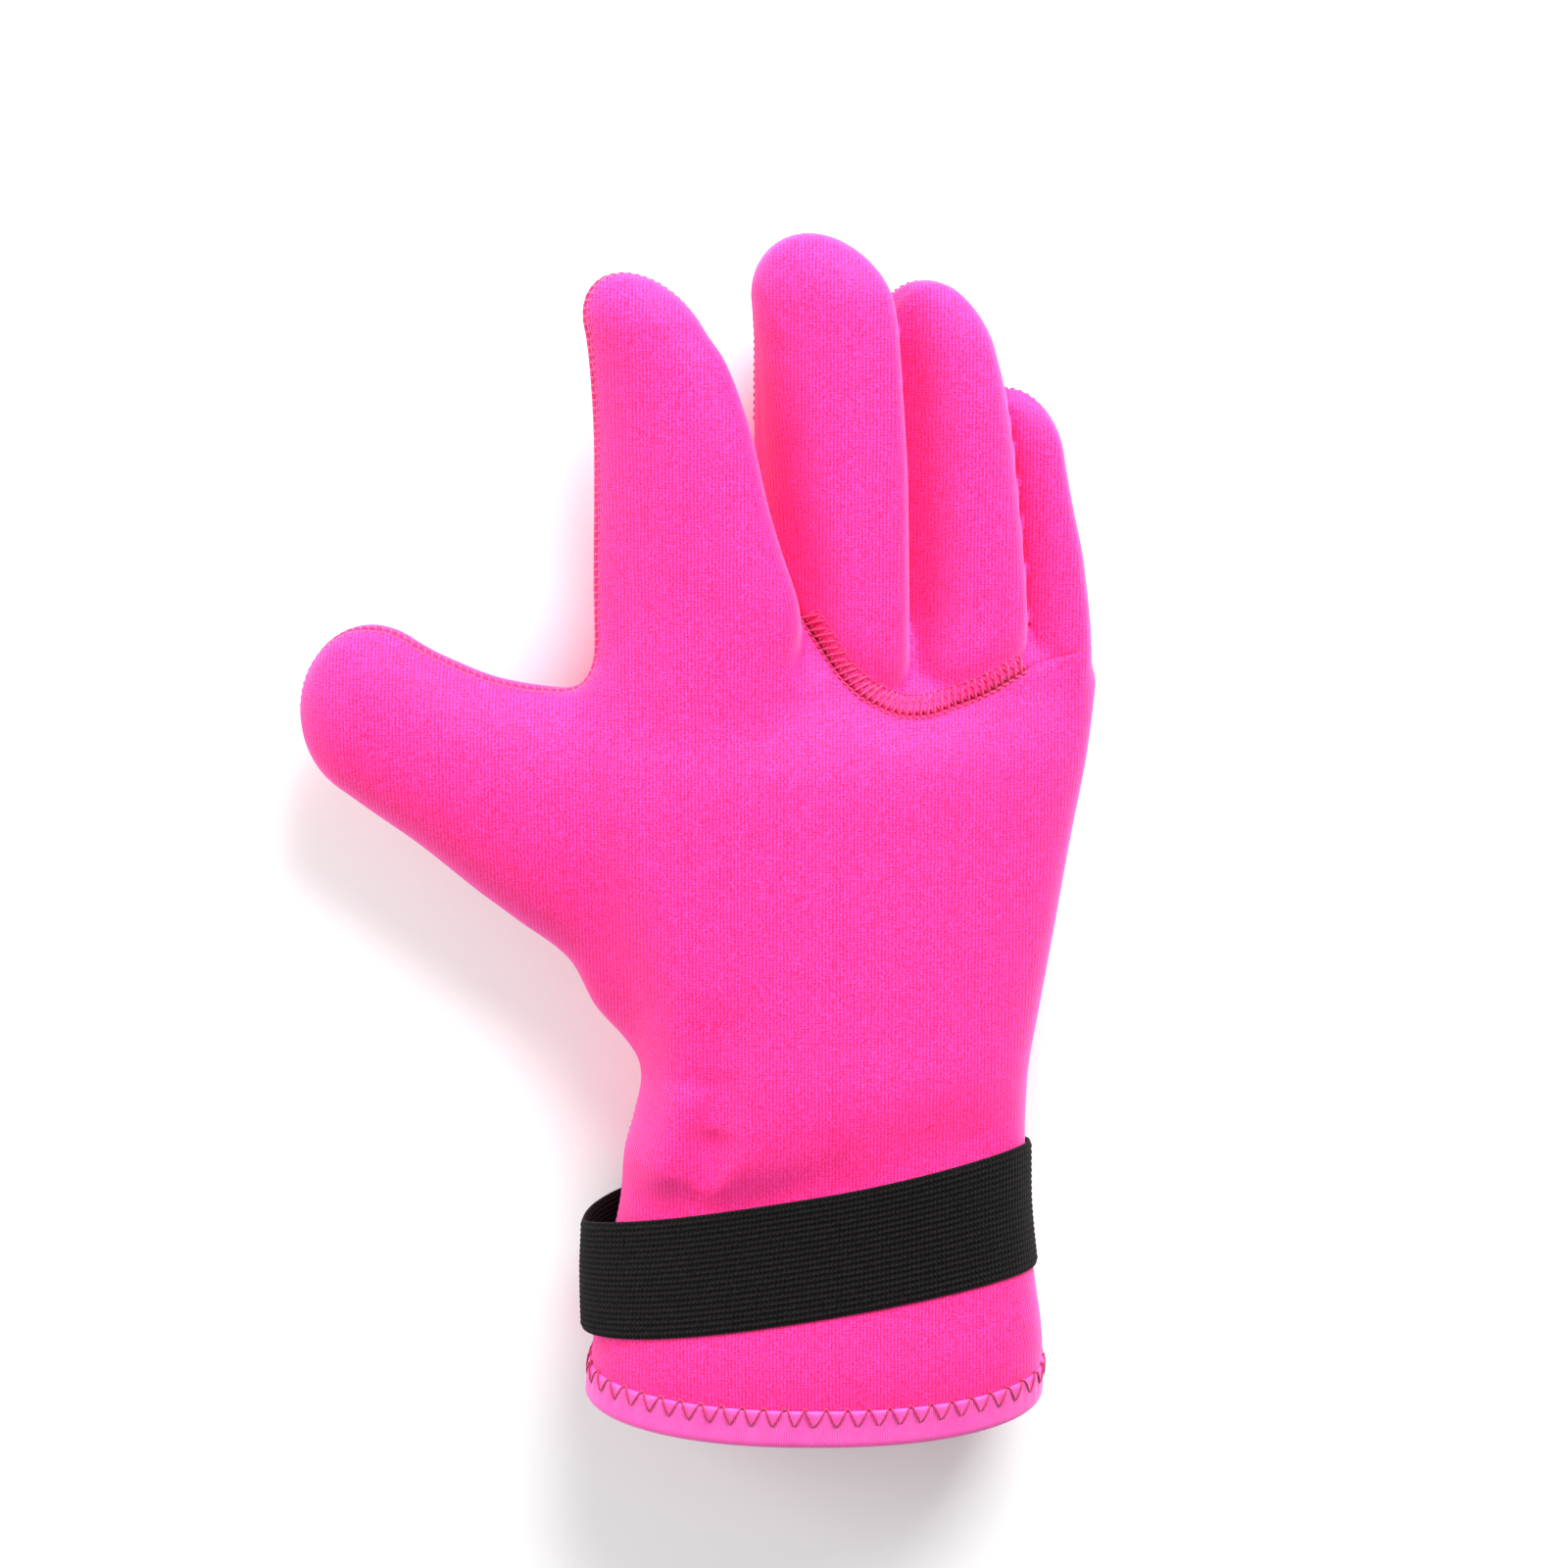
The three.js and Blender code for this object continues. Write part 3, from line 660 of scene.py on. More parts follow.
def new_piece(name, points, faces):
    """Smooth mesh object from points in the pattern's millimetres and an array of faces."""
    mesh = bpy.data.meshes.new(name)
    places = (np.asarray(points) + PATTERN_SHIFT) / 1000
    faces = np.asarray(faces)
    mesh.vertices.add(len(places))
    mesh.vertices.foreach_set("co", places.astype(np.float32).ravel())
    mesh.loops.add(faces.size)
    mesh.loops.foreach_set("vertex_index", faces.astype(np.int32).ravel())
    mesh.polygons.add(len(faces))
    mesh.polygons.foreach_set("loop_start", np.arange(0, faces.size, faces.shape[1], dtype=np.int32))
    mesh.update(calc_edges=True)
    mesh.polygons.foreach_set("use_smooth", np.full(len(faces), True))
    mesh.validate()
    piece = bpy.data.objects.new(name, mesh)
    bpy.context.scene.collection.objects.link(piece)
    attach(piece, "root")
    print(name, "faces:", len(faces))
    return piece


def lay_map(piece, name, across, along):
    """UV map from two numbers for each vertex."""
    mesh = piece.data
    corner = np.empty(len(mesh.loops), dtype=np.int32)
    mesh.loops.foreach_get("vertex_index", corner)
    layer = mesh.uv_layers.new(name=name)
    layer.data.foreach_set("uv", np.stack([across, along], axis=1)[corner].astype(np.float32).ravel())


def lay_number(piece, name, values):
    """Attribute of one number for each vertex."""
    layer = piece.data.attributes.new(name, "FLOAT", "POINT")
    layer.data.foreach_set("value", np.asarray(values, dtype=np.float32))


def panel(name, field):
    """Surface where a field is nought, as four-sided faces that point outwards."""
    grid = openvdb.FloatGrid(2 * CELL)
    grid.copyFromArray(np.clip(field, -2 * CELL, 2 * CELL))
    grid.transform = openvdb.createLinearTransform(voxelSize=CELL)
    points, _, faces = grid.convertToPolygons(isovalue=0.0, adaptivity=0.0)
    points = points.astype(float) + lowest
    a, b, c = points[faces[:, 0]], points[faces[:, 1]], points[faces[:, 2]]
    outwards = np.einsum("ij,ij->", np.cross(b - a, c - a), slope_of(field, a))
    return new_piece(name, points, faces if outwards > 0 else faces[:, ::-1]), points


palm, palm_points = panel("palm_and_index", palm_field)
fingers, finger_points = panel("finger_fronts", finger_field)
back, back_points = panel("glove_back", back_field)
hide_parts("palm_panel")
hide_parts("finger_front_panel")
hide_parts("back_panel")


# %% Nearness to a seam
FAR = 20
for piece, points in ((palm, palm_points), (fingers, finger_points), (back, back_points)):
    on_index = sample(away["index"], points) < 0.6
    beside_front = np.abs(sample(set_in + 0 * finger_seam, points)) + FAR * on_index
    beside_front = beside_front + np.clip(points[:, 0] - LITTLE_FROM, 0, FAR)
    beside_seam = np.minimum(np.abs(sample(side_seam, points)), beside_front)
    # from_seam feeds the painted shade that darkens the jersey next to each seam
    lay_number(piece, "from_seam", np.clip(beside_seam, 0, FAR))
    print(piece.name, "places within 2 mm of a seam:", int((beside_seam < 2).sum()))

# %% [markdown]
# ## Neoprene faced with jersey
#
# The foam is faced with a fine pink jersey. Close up it is columns of small loops, about seven tenths of a
# millimetre apart, and from afar they become faint lines with a lilac sheen at grazing angles. Next to a
# seam the colour is painted darker, as shade in the groove that the seam makes.

# %% Jersey
WALE = 0.00072
COURSE = 0.0006
JERSEY_DARK = colour(234, 9, 92)
JERSEY_LIGHT = colour(255, 60, 168)
# painted shade: the deep pink that the jersey is darkened towards next to a seam
JERSEY_SEAM_SHADE = colour(206, 16, 78)
JERSEY_SHEEN = colour(236, 170, 255)


def jersey(name):
    """Columns of loops along the hand: read from above, and from the side where a wall turns steep."""
    cloth = Finish(name)
    place = cloth.add("ShaderNodeTexCoord", {}, {}, "Object")
    facing = cloth.add("ShaderNodeNewGeometry", {}, {}, "Normal")
    x, y, z = cloth.parts(place)
    face_x, face_y, _ = cloth.parts(facing)
    wander = cloth.noise(place, 90.0, 1.0) * 2.5
    steep_x = ((face_x.size() - 0.6) * 6.0).as_share()
    steep_y = ((face_y.size() - 0.6) * 6.0).as_share()
    wale_above = (x * (2 * math.pi / WALE) + wander).sine()
    wale_beside = (z * (2 * math.pi / WALE) + wander).sine()
    wale = wale_above * (1 - steep_x) + wale_beside * steep_x
    loop_above = ((y / COURSE + wale * 0.22) * (2 * math.pi)).sine()
    loop_beside = ((z / COURSE + wale * 0.22) * (2 * math.pi)).sine()
    loop = loop_above * (1 - steep_y) + loop_beside * steep_y
    fuzz = cloth.noise(place, 2300.0, 3.0)
    patch = cloth.noise(place, 320.0, 3.0)
    height = wale * 0.45 + loop * 0.3 + fuzz * 0.9
    from_seam = cloth.add("ShaderNodeAttribute", {"attribute_name": "from_seam"}, {}, "Fac")
    # painted shade: within 1.6 mm of a seam the colour is darkened towards a deeper pink, as shade in the
    # seam's groove
    seam_shade = (1 - from_seam / 1.6).at_least(0.0)
    tone = 0.45 + wale * 0.32 + loop * 0.18 + (fuzz - 0.5) * 2.6 + (patch - 0.5) * 0.25
    dyed = cloth.mix(tone.as_share(), JERSEY_DARK, JERSEY_LIGHT)
    dyed = cloth.mix(seam_shade * 0.6, dyed, JERSEY_SEAM_SHADE)
    rough = 0.62 + wale * 0.05 + fuzz * 0.1
    relief = cloth.bump(height, 0.00012, 0.55)
    return cloth.surface(
        Base_Color=dyed, Roughness=rough, Normal=relief, Sheen_Weight=0.55, Sheen_Roughness=0.45,
        Sheen_Tint=JERSEY_SHEEN, Specular_IOR_Level=0.25,
    )


pink_jersey = jersey("pink_jersey")
for piece in (palm, fingers, back):
    piece.data.materials.append(pink_jersey)
print("finishes so far:", Finish.made)

# %% [markdown]
# ## Bands that follow the wrist
#
# The binding and the strap are flat profiles carried round the hand part. A place on them is given by an
# angle round the wrist, a distance from the cuff's edge and a height over the neoprene.

# %% A place on the hand part
def hand_point(angle, along, grow):
    """Rounded ellipse of the section there, grown, laid on the table, leant, and moved by the cuff's dip."""
    at = np.clip(along / PALM_LENGTH, 0, 1)
    width, height, lift = column(HAND, 2, at), column(HAND, 3, at), column(HAND, 4, at)
    across = np.sign(np.cos(angle)) * np.abs(np.cos(angle)) ** FULL_ACROSS
    side = np.sin(angle)
    up = np.sign(side) * np.abs(side) ** FULL_UP
    x = column(HAND, 1, at) * PALM_WIDTH + across * (width / 2 + grow)
    z = lift + height / 2 + up * np.where(up < 0, UNDERSIDE, 1) * (height / 2 + grow)
    z = np.maximum(z, lift - grow)
    z = z - column(HAND, 5, at) * PALM_HEIGHT * across * np.maximum((z - lift) / height, 0)
    return np.stack([x, along + cuff_dip(side, along), z], axis=-1)


def grid_faces(rows, columns):
    """Four-sided faces of a grid that is closed both ways."""
    r, c = np.meshgrid(np.arange(rows), np.arange(columns), indexing="ij")
    r2, c2 = (r + 1) % rows, (c + 1) % columns
    corners = [r * columns + c, r * columns + c2, r2 * columns + c2, r2 * columns + c]
    return np.stack(corners, axis=-1).reshape(-1, 4)


def outward(points, faces):
    """The same faces, turned so that the closed surface holds a positive volume."""
    a, b, c, d = (points[faces[:, k]] for k in range(4))
    volume = np.einsum("ij,ij->", a, np.cross(b, c)) + np.einsum("ij,ij->", a, np.cross(c, d))
    return faces if volume > 0 else faces[:, ::-1]


def length_along(line):
    """Distance of each place from the first, along the line."""
    return np.concatenate([[0], np.cumsum(np.linalg.norm(np.diff(line, axis=0), axis=1))])


# %% [markdown]
# ## Cuff binding
#
# A stretch tape, lighter and smoother than the jersey, is folded over the raw edge of the foam. It is a
# long thin loop of a profile: out along the palm side, round the edge and back along the lining.

# %% Cuff binding
STATIONS = 360


def binding_profile():
    """Middle line of the tape, out, round and back, thickened to both sides with round ends."""
    middle = (2 * BINDING_CLEARANCE + BINDING_THICKNESS) / 2
    out = np.stack([np.linspace(BINDING_WIDTH - 0.3, 0.6, 12), np.full(12, middle)], axis=1)
    turn = np.linspace(0, math.pi, 13)[1:-1]
    bend = WALL / 2 + middle
    round_edge = np.stack([0.4 - bend * 0.75 * np.sin(turn), -WALL / 2 + bend * np.cos(turn)], axis=1)
    flap = np.stack([np.linspace(0.6, 0.8 * BINDING_WIDTH, 10), np.full(10, -WALL - middle)], axis=1)
    line = np.concatenate([out, round_edge, flap])
    run = np.gradient(line, axis=0)
    run /= np.linalg.norm(run, axis=1, keepdims=True)
    normal = np.stack([-run[:, 1], run[:, 0]], axis=1) * -1
    thick = BINDING_THICKNESS / 2 * np.ones(len(line))
    thick[0] = thick[-1] = BINDING_THICKNESS / 5
    return line, normal * thick[:, None]


tape_line, tape_half = binding_profile()
profile = np.concatenate([tape_line + tape_half, (tape_line - tape_half)[::-1]])
around = np.linspace(0, 2 * math.pi, STATIONS, endpoint=False)[:, None]
# the tape swells a little, this often round the cuff, on a strip along its outer side
PUFF = 0.12
PUFFS = 62
PUFF_STRIP = 4.5
along, over = profile[None, :, 0], profile[None, :, 1]
puff = PUFF * np.sin(around * PUFFS) * np.exp(-((along - PUFF_STRIP) ** 2) / 6) * (over > 1.0)
binding_points = hand_point(around, along, over + puff).reshape(-1, 3)
binding_faces = outward(binding_points, grid_faces(STATIONS, len(profile)))
binding = new_piece("cuff_tape", binding_points, binding_faces)
round_cuff = length_along(hand_point(around[:, 0], 0 * around[:, 0], 1.0))
across_tape = np.tile(np.arange(len(profile)) * 0.5, STATIONS)
lay_map(binding, "tape", np.repeat(round_cuff, len(profile)), across_tape)
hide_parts("cuff_binding")
print("binding, millimetres round the cuff:", round(float(round_cuff[-1])))


# %% Stretch tape
def stretch_tape():
    """Fine ribs across the tape that wander a little."""
    cloth = Finish("stretch_tape")
    along, _, _ = cloth.parts(cloth.add("ShaderNodeUVMap", {"uv_map": "tape"}))
    place = cloth.add("ShaderNodeTexCoord", {}, {}, "Object")
    wander = cloth.noise(place, 160.0, 2.0)
    rib = (along * (2 * math.pi / 0.5) + wander * 6.0).sine()
    fuzz = cloth.noise(place, 1200.0, 2.0)
    tone = 0.52 + rib * 0.3 + (wander - 0.5) * 0.5 + (fuzz - 0.5) * 0.4
    dyed = cloth.mix(tone.as_share(), colour(236, 56, 158), colour(255, 106, 192))
    relief = cloth.bump(rib * 0.6 + fuzz * 0.4, 0.00008, 0.5)
    return cloth.surface(
        Base_Color=dyed, Roughness=0.5 + rib * 0.04, Normal=relief, Sheen_Weight=0.4, Sheen_Roughness=0.4,
        Sheen_Tint=colour(255, 200, 255), Specular_IOR_Level=0.3,
    )


binding.data.materials.append(stretch_tape())
print("finishes so far:", Finish.made)

# %% [markdown]
# ## Elastic wrist strap
#
# The strap is a flat woven elastic with long ribs, sewn into a loop. It climbs towards the little finger,
# where it is also wider, bows towards the fingers in front, and stands off the glove on the thumb's side.
# Its closure is out of sight and is left a plain loop.

# %% Wrist strap
STRAP_FROM_CUFF = 35
STRAP_SLOPE = 0.165
STRAP_BOW = 4.5
STRAP_LOOP = 6.5
STRAP_RISE = 1.8
STRAP_WIDENS = 0.07
STRAP_EDGE = 0.7
RIBS = 21
RIB_DEPTH = 0.22


def strap_points(angle, share, grow):
    """A place on the band: round the wrist, across the band from -0.5 to 0.5, and over the neoprene."""
    x = hand_point(angle, STRAP_FROM_CUFF + 0 * angle, grow)[..., 0]
    side = np.sin(angle)
    slope = STRAP_SLOPE * (1 - 0.7 * np.maximum(-side, 0))
    little_side = np.maximum(np.cos(angle), 0) ** 1.5
    along = STRAP_FROM_CUFF + slope * x + STRAP_BOW * np.maximum(side, 0) + STRAP_RISE * little_side
    along = along + share * STRAP_WIDTH * (1 + STRAP_WIDENS * little_side)
    points = hand_point(angle, along, grow)
    points[..., 0] -= STRAP_LOOP * (0.65 + 0.7 * share) * np.maximum(-np.cos(angle), 0) ** 5
    return points


share = np.linspace(-0.5, 0.5, 6 * RIBS + 1)
rib = 0.5 + 0.5 * np.cos(2 * math.pi * share * RIBS)
edge = np.sqrt(np.clip((0.5 - np.abs(share)) * STRAP_WIDTH / STRAP_EDGE, 0, 1))
middle_grow = STRAP_CLEARANCE + STRAP_THICKNESS / 2
half_thick = (STRAP_THICKNESS / 2 - RIB_DEPTH * rib) * np.maximum(edge, 0.25)
outer = np.stack([share, middle_grow + half_thick], axis=1)
inner = np.stack([share, middle_grow - half_thick], axis=1)
band = np.concatenate([outer, inner[::-1]])
strap_grid = strap_points(around + 0 * band[None, :, 0], band[None, :, 0], band[None, :, 1] + 0 * around)
strap_faces = outward(strap_grid.reshape(-1, 3), grid_faces(STATIONS, len(band)))
strap = new_piece("wrist_band", strap_grid.reshape(-1, 3), strap_faces)
round_wrist = length_along(strap_grid[:, 0])
lay_map(strap, "band", np.repeat(round_wrist, len(band)), np.tile(band[:, 0] * STRAP_WIDTH, STATIONS))
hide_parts("wrist_strap")
middle_line = strap_points(np.linspace(0, 2 * math.pi, STATIONS), 0.0, middle_grow)
print("strap, millimetres round its middle line:", round(float(length_along(middle_line)[-1])))


# %% Woven elastic
def woven_elastic():
    """Black yarn: painted shade darkens it in the grooves between the ribs, with short stitches along each
    rib and a little fluff.
    """
    cloth = Finish("woven_elastic")
    along, across, _ = cloth.parts(cloth.add("ShaderNodeUVMap", {"uv_map": "band"}))
    place = cloth.add("ShaderNodeTexCoord", {}, {}, "Object")
    rib = (across * (2 * math.pi * RIBS / STRAP_WIDTH) + math.pi / 2).sine()
    stitch = (along * (2 * math.pi / 0.94) + rib * 1.2).sine()
    fuzz = cloth.noise(place, 1500.0, 3.0)
    # painted shade: the tone is lowest in the grooves between the ribs, where the band is modelled thinnest
    tone = 0.3 - rib * 0.36 + stitch * 0.3 + (fuzz - 0.5) * 2.0
    yarn = cloth.mix(tone.as_share(), colour(1, 1, 1), colour(31, 26, 28))
    relief = cloth.bump(stitch * 0.5 + fuzz * 0.6 - rib * 0.4, 0.0002, 0.9)
    return cloth.surface(
        Base_Color=yarn, Roughness=0.75 + fuzz * 0.2, Normal=relief, Sheen_Weight=0.02,
        Specular_IOR_Level=0.12,
    )


strap.data.materials.append(woven_elastic())
print("finishes so far:", Finish.made)

# %% [markdown]
# ## Thread
#
# More than a thousand threads would be slow as curves, so every stitch is a short tube with a square
# section, about twenty faces, shaded smooth. A stitch is a row of places. Each place is set on the cloth
# and then lifted or sunk a little, and the ends go into the cloth. On the side seams the places are drawn
# onto the neoprene down the slope of the form's distance.

# %% Threads as small tubes
def onto(points, *fields):
    """Moves places down the slope of each field in turn until it is nought there."""
    points = np.array(points, float)
    for _ in range(6):
        for field in fields:
            slope = slope_of(field, points)
            value = sample(field, points)[:, None]
            steep = np.maximum((slope**2).sum(axis=1, keepdims=True), 0.05)
            points = points - np.clip(value * slope / steep, -2, 2)
    return points


def unit(vectors):
    """The same directions with a length of one."""
    return vectors / np.maximum(np.linalg.norm(vectors, axis=-1, keepdims=True), 1e-9)


def threads(stations, normals, radius):
    """Points and faces of four-sided tubes, each through one row of stations, with caps at both ends."""
    count, length, _ = stations.shape
    run = unit(np.gradient(stations, axis=1))
    side = unit(np.cross(run, normals))
    lift = np.cross(side, run)
    thick = radius * np.r_[0.6, np.ones(length - 2), 0.6][None, :, None]
    corners = [side + lift, lift - side, -side - lift, side - lift]
    rings = np.stack([stations + thick * 0.75 * c for c in corners], axis=2)
    points = rings.reshape(-1, 3)
    base = (np.arange(count) * length * 4)[:, None, None]
    k = np.arange(length - 1)[None, :, None] * 4
    c = np.arange(4)[None, None, :]
    d = (c + 1) % 4
    walls = np.stack([base + k + c, base + k + d, base + k + 4 + d, base + k + 4 + c], axis=-1).reshape(-1, 4)
    first = base[:, 0, 0][:, None] + np.array([3, 2, 1, 0])
    last = base[:, 0, 0][:, None] + 4 * (length - 1) + np.array([0, 1, 2, 3])
    return points, np.concatenate([walls, first, last])


def sewn(name, sets, finish):
    """One piece from several sets of threads."""
    points, faces, count = [], [], 0
    for p, f in sets:
        points.append(p)
        faces.append(f + count)
        count += len(p)
    points, faces = np.concatenate(points), np.concatenate(faces)
    piece = new_piece(name, points, outward(points, faces))
    piece.data.materials.append(finish)
    return piece


def thread_finish(name, dark, light):
    """Twisted yarn: fine slanting strands, dark and light in turn."""
    yarn = Finish(name)
    place = yarn.add("ShaderNodeTexCoord", {}, {}, "Object")
    x, y, z = yarn.parts(place)
    strand = ((x + y * 0.8 + z * 0.6) * (2 * math.pi / 0.00035)).sine()
    fuzz = yarn.noise(place, 2500.0, 2.0)
    tone = 0.5 + strand * 0.3 + (fuzz - 0.5) * 0.8
    dyed = yarn.mix(tone.as_share(), dark, light)
    relief = yarn.bump(strand * 0.5 + fuzz * 0.4, 0.00005, 0.6)
    return yarn.surface(Base_Color=dyed, Roughness=0.55 + fuzz * 0.15, Normal=relief, Sheen_Weight=0.3)


coral_thread = thread_finish("coral_thread", colour(202, 6, 84), colour(246, 40, 130))
rose_thread = thread_finish("rose_thread", colour(158, 2, 72), colour(212, 12, 112))
red_thread = thread_finish("red_thread", colour(158, 6, 72), colour(212, 22, 112))
print("finishes so far:", Finish.made)

# %% [markdown]
# ## Side seams
#
# Front and back are joined by a flat overlock: coral rungs across the edge, and a darker needle line on the
# palm side of it. Each exposed stretch starts as a rough line up one side of a tube, over its tip and down
# the other side, and is then drawn onto both the surface and the seam.

# %% Paths of the side seams
def tube_edge(tube, side, start, end, count):
    """Rough places along one side of a tube, from a share of its length to another; 1 is near the tip."""
    length, tip = tube["length"], tube["tip"] * tube["width"]
    straight = length - tip
    run = np.linspace(start, end, count) * length
    rounding = tip * np.sin(np.clip((run - straight) / tip, 0, math.pi / 2))
    along = np.minimum(run, straight + rounding)
    closing = np.clip((along - straight) / tip, 0, 1)
    share = along / length
    across = side * np.sqrt(1 - closing**2) * column(tube["rows"], 3, share) * tube["width"] / 2
    roll = np.radians(column(tube["rows"], 5, share))
    aside = column(tube["rows"], 1, share) * tube["width"] + across * np.cos(roll)
    z = column(tube["rows"], 2, share) * tube["height"] + across * np.sin(roll)
    turn = math.radians(tube["direction"])
    x = tube["x"] * PALM_WIDTH + along * math.cos(turn) + aside * math.sin(turn)
    y = tube["y"] + along * math.sin(turn) - aside * math.cos(turn)
    return np.stack([x, y, z], axis=1)


def hand_edge(side, start, end, count):
    """Rough places along one side of the hand part, from one distance off the cuff to another."""
    along = np.linspace(start, end, count)
    return hand_point(np.full(count, 0.0 if side > 0 else math.pi), along, 0 * along) + [0, 0, HAND_SEAM]


def even(points, pitch):
    """The same line, smoothed a little, with places at an even pitch."""
    for _ in range(3):
        points[1:-1] = (points[:-2] + 2 * points[1:-1] + points[2:]) / 4
    run = length_along(points)
    places = np.arange(0, run[-1], pitch)
    return np.stack([np.interp(places, run, points[:, k]) for k in range(3)], axis=1)


def over_tip(tube, left, right):
    """Up the left side, over the tip, and down the right side."""
    return np.concatenate([tube_edge(tube, -1, left, 1.3, 60), tube_edge(tube, 1, 1.3, right, 60)[1:]])


thumb_side = np.concatenate([
    hand_edge(-1, 8, 96, 60), over_tip(THUMB, 0.45, 0.42),
    tube_edge(INDEX, -1, 0.12, 1.3, 80), tube_edge(INDEX, 1, 1.3, 0.8, 30)[1:],
])
little_side = np.concatenate([
    tube_edge(LITTLE, -1, 0.9, 1.3, 30), tube_edge(LITTLE, 1, 1.3, 0.1, 60)[1:], hand_edge(1, 140, 8, 90),
])
rough_lines = [thumb_side, over_tip(MIDDLE, 0.66, 0.9), over_tip(RING, 0.92, 0.82), little_side]
RUNG_PITCH = 1.6
RUNG_REACH = (1.8, 0.9, 0.9, 0.9)
side_lines = [even(onto(even(line, 1.0), form, side_seam), RUNG_PITCH) for line in rough_lines]
print("side seams, millimetres:", [round(len(line) * RUNG_PITCH) for line in side_lines])


# %% Rungs and needle line of the side seams
RUNG_SLANT = 0.35
RUNG_RADIUS = 0.26
RUNG_LIFT = -0.17
NEEDLE_RADIUS = 0.2
NEEDLE_STITCH = 0.62


def laid(stations, height, radius):
    """Threads through stations that are drawn onto the form and then lifted, each by its own height."""
    flat = onto(stations.reshape(-1, 3), form)
    normals = unit(slope_of(form, flat)).reshape(stations.shape)
    return threads(flat.reshape(stations.shape) + normals * height[None, :, None], normals, radius)


def rungs(line, reach):
    """One slanting thread across the seam at each place of the line."""
    line = onto(line, form, side_seam)
    run = unit(np.gradient(line, axis=0))
    normal = unit(slope_of(form, line))
    palmwards = -unit(np.cross(np.cross(run, slope_of(side_seam, line)), run))
    palmwards = unit(palmwards - (palmwards * normal).sum(axis=1, keepdims=True) * normal)
    share = np.linspace(-1, 1, 5)
    stations = line[:, None, :] + palmwards[:, None, :] * (reach * share)[None, :, None]
    stations = stations + run[:, None, :] * (RUNG_SLANT * share)[None, :, None]
    return laid(stations, np.r_[-0.35, RUNG_LIFT, RUNG_LIFT + 0.05, RUNG_LIFT, -0.35], RUNG_RADIUS)


def needle_line(line, beside):
    """Short threads along the seam, a little to the palm's side of it."""
    line = onto(line, form, side_seam)
    run = unit(np.gradient(line, axis=0))
    normal = unit(slope_of(form, line))
    palmwards = unit(-slope_of(side_seam, line))
    palmwards = unit(palmwards - (palmwards * normal).sum(axis=1, keepdims=True) * normal)
    share = np.linspace(-0.5, 0.5, 5) * RUNG_PITCH * NEEDLE_STITCH
    stations = (line + palmwards * beside)[:, None, :] + run[:, None, :] * share[None, :, None]
    return laid(stations, np.r_[-0.3, -0.05, 0.0, -0.05, -0.3], NEEDLE_RADIUS)


sewn("side_seam_rungs", list(map(rungs, side_lines, RUNG_REACH)), coral_thread)
sewn("side_seam_needle_line", list(map(needle_line, side_lines, RUNG_REACH)), red_thread)

# %% [markdown]
# ## The seam of the finger fronts
#
# Where the finger fronts are set in, the overlock is wider and lies in a valley: slanting rungs on the
# fingers' side, a looser second row across them, and a dark line along each edge.

# %% Seam of the finger fronts
BAND = 3.6
FRONT_PITCH = 1.5
FRONT_FROM, FRONT_TO = -2.3, 44.2


def top_of(x, y):
    """Height of the glove's upper side.

    It is the highest place in a column where the form turns from inside to outside.
    """
    i, j = ((np.asarray(v, float) - lowest[k]) / CELL for k, v in enumerate((x, y)))
    total = 0
    for di, dj in ((0, 0), (0, 1), (1, 0), (1, 1)):
        a, b = i.astype(int) + di, j.astype(int) + dj
        inside = form[a, b] < 0
        last = inside.shape[-1] - 1 - np.argmax(inside[..., ::-1], axis=-1)
        here = np.take_along_axis(form[a, b], last[..., None], -1)[..., 0]
        there = np.take_along_axis(form[a, b], last[..., None] + 1, -1)[..., 0]
        z = lowest[2] + CELL * (last + here / (here - there))
        total = total + z * np.where(di, i % 1, 1 - i % 1) * np.where(dj, j % 1, 1 - j % 1)
    return total


x_line = np.linspace(FRONT_FROM, FRONT_TO, 240)
base_line = np.stack([x_line, np.interp(x_line, xs, seam_curve), 0 * x_line], axis=1)


def front_rows(start, end, slant, radius, lift, shares=5, jitter=0.0):
    """Threads from one distance to another on the fingers' side of the seam, with a slant along it."""
    line = even(base_line.copy(), FRONT_PITCH)
    wobble = jitter * np.sin(np.arange(len(line)) * 2.4)[:, None]
    run = unit(np.gradient(line, axis=0))
    upward = np.stack([-run[:, 1], run[:, 0], 0 * run[:, 0]], axis=1)
    share = np.linspace(0, 1, shares)
    reach = start + (end - start) * share[None, :] + wobble * share[None, :]
    stations = line[:, None, :] + upward[:, None, :] * reach[:, :, None]
    stations = stations + run[:, None, :] * (slant * (share - 0.5))[None, :, None]
    stations[..., 2] = top_of(stations[..., 0], stations[..., 1])
    normals = unit(slope_of(form, stations.reshape(-1, 3))).reshape(stations.shape)
    height = np.r_[-0.2, np.full(shares - 2, lift), -0.2]
    return threads(stations + normals * height[None, :, None], normals, radius)


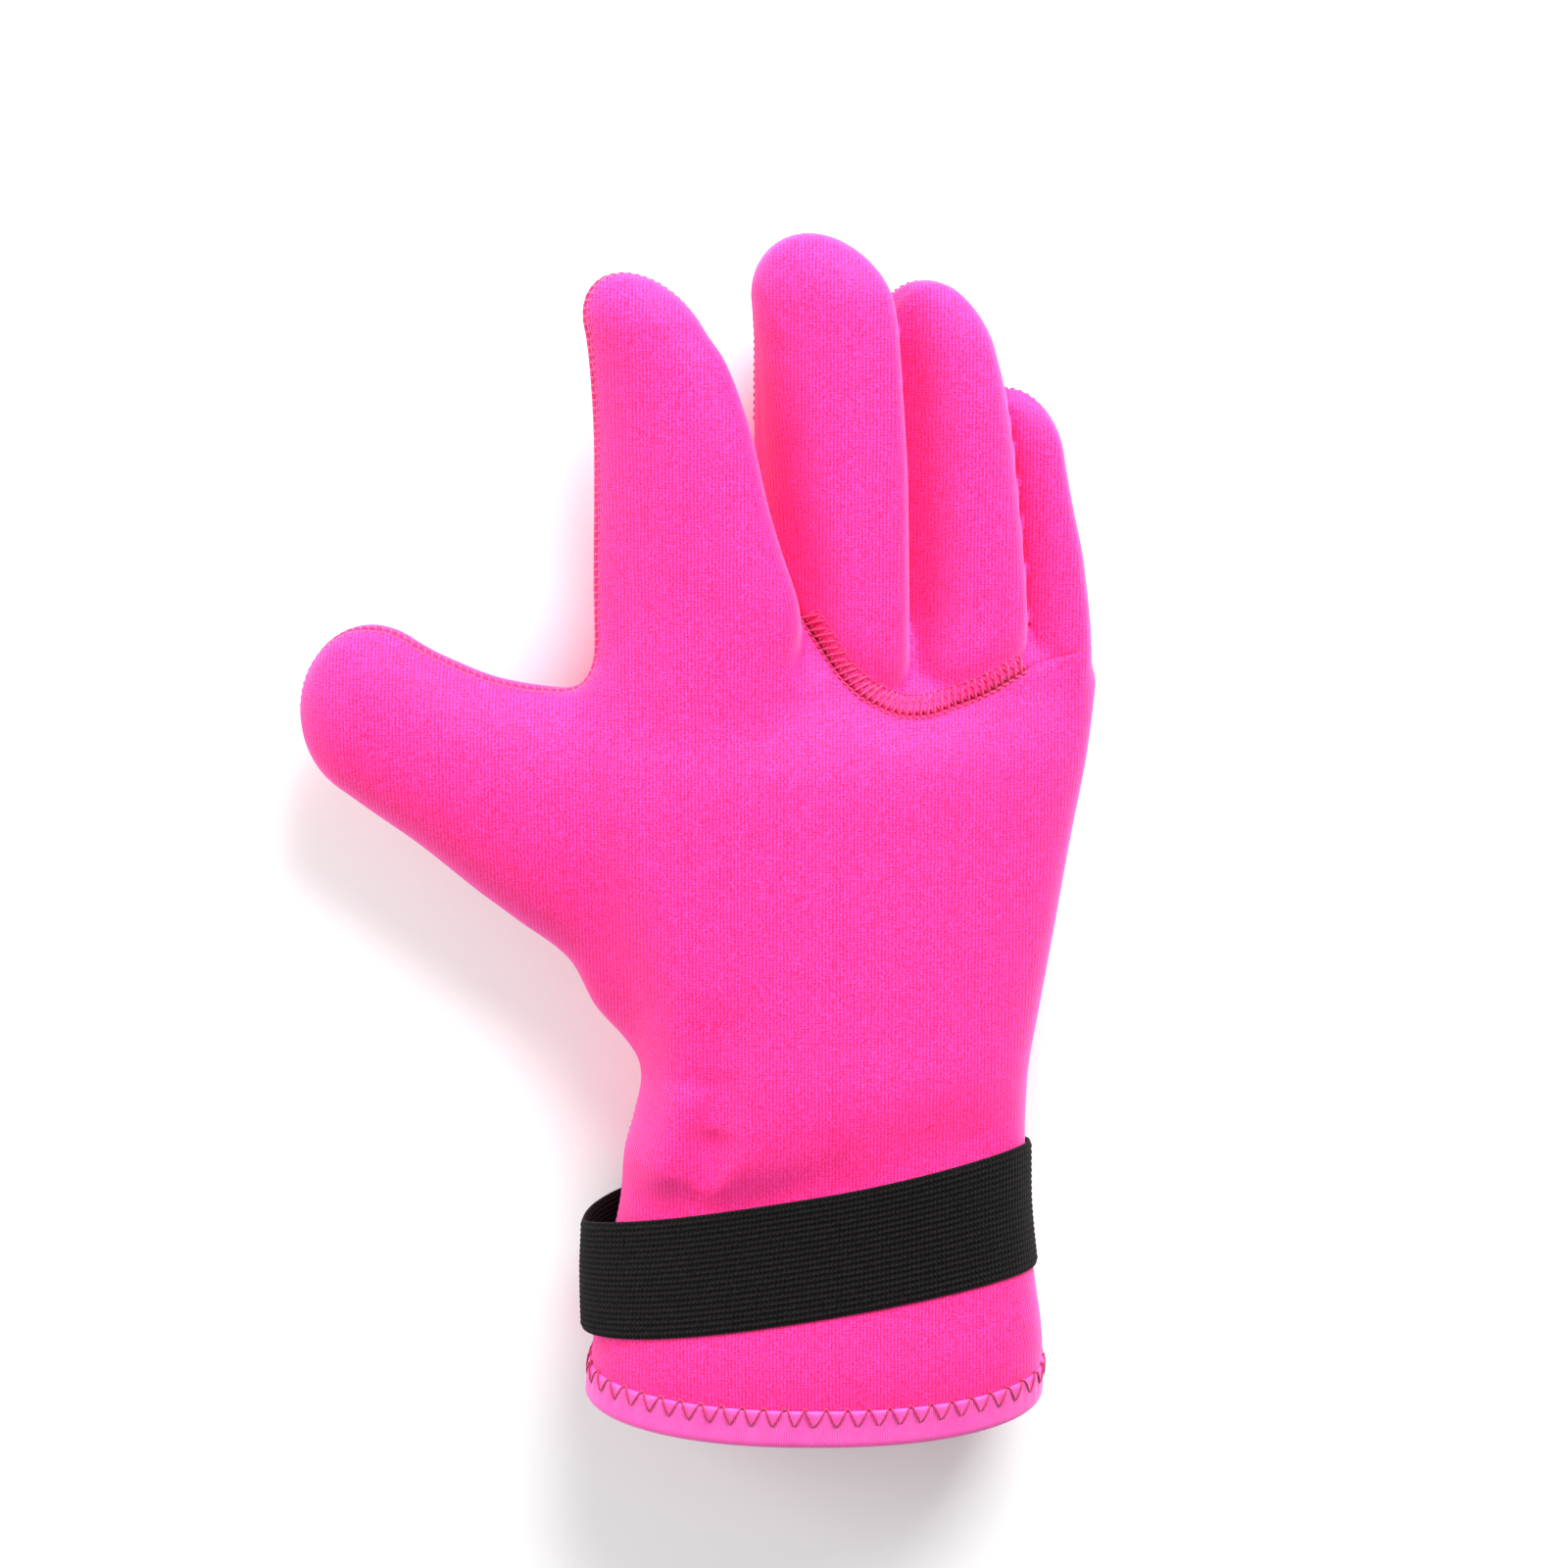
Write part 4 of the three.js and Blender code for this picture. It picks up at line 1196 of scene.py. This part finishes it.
sewn("front_seam_rungs", [
    front_rows(-0.3, BAND, slant=1.3, radius=0.3, lift=0.22, shares=6, jitter=0.5),
    front_rows(0.2, BAND - 0.6, slant=-1.1, radius=0.24, lift=0.12, shares=6, jitter=0.4),
], coral_thread)
sewn("front_seam_needle_line", [
    front_rows(-0.55, -0.5, slant=1.0, radius=0.22, lift=0.1),
    front_rows(BAND + 0.1, BAND + 0.2, slant=0.9, radius=0.2, lift=0.05),
], red_thread)

# %% [markdown]
# ## Zigzag of the cuff
#
# The tape is held by one zigzag. Its upper points go just over the tape's edge into the jersey, its lower
# points end near the middle of the tape, and a short knot lies over each upper point.

# %% Zigzag
ZIGZAG_PITCH = 4.45
zigzags = round(float(round_cuff[-1]) / ZIGZAG_PITCH)
TOP, BOTTOM = BINDING_WIDTH + 0.35, BINDING_WIDTH - 4.0
OVER_TAPE = BOUND + 0.1
LEG_RADIUS, KNOT_RADIUS = 0.24, 0.34
turns = np.interp(np.linspace(0, round_cuff[-1], zigzags + 1), round_cuff, around[:, 0])[:-1]
step = np.gradient(turns)


def zigzag_leg(turn_top, turn_bottom):
    """Thread from a place over the tape's edge down to a lower point; both ends go into the cloth."""
    share = np.linspace(0, 1, 6)
    turn = turn_top[:, None] + (turn_bottom - turn_top)[:, None] * share
    along = TOP + (BOTTOM - TOP) * share + 0 * turn
    lift = OVER_TAPE + np.r_[-0.5, 0.02, 0.1, 0.1, 0.05, -0.25]
    stations = hand_point(turn, along, lift + 0 * turn)
    stations[..., 2] = np.maximum(stations[..., 2], 0.25)
    normals = unit(stations - hand_point(turn, along, lift - 1.0 + 0 * turn))
    return threads(stations, normals, LEG_RADIUS)


def zigzag_knot(turn):
    """Short thick thread along the tape's edge, where two legs meet."""
    share = np.linspace(-0.5, 0.5, 4)
    turn = turn[:, None] + 0.2 * step[:, None] * share
    along = TOP - 0.25 + 0.5 * share + 0 * turn
    lift = OVER_TAPE - 0.4 + np.r_[-0.2, 0.05, 0.05, -0.2]
    stations = hand_point(turn, along, lift + 0 * turn)
    normals = unit(stations - hand_point(turn, along, lift - 1.0 + 0 * turn))
    return threads(stations, normals, KNOT_RADIUS)


lower_points = turns + 0.5 * step
down = zigzag_leg(turns + 0.05 * step, lower_points)
up = zigzag_leg(turns + 0.95 * step, lower_points)
sewn("cuff_zigzag", [down, up, zigzag_knot(turns)], rose_thread)
print("zigzags:", zigzags)
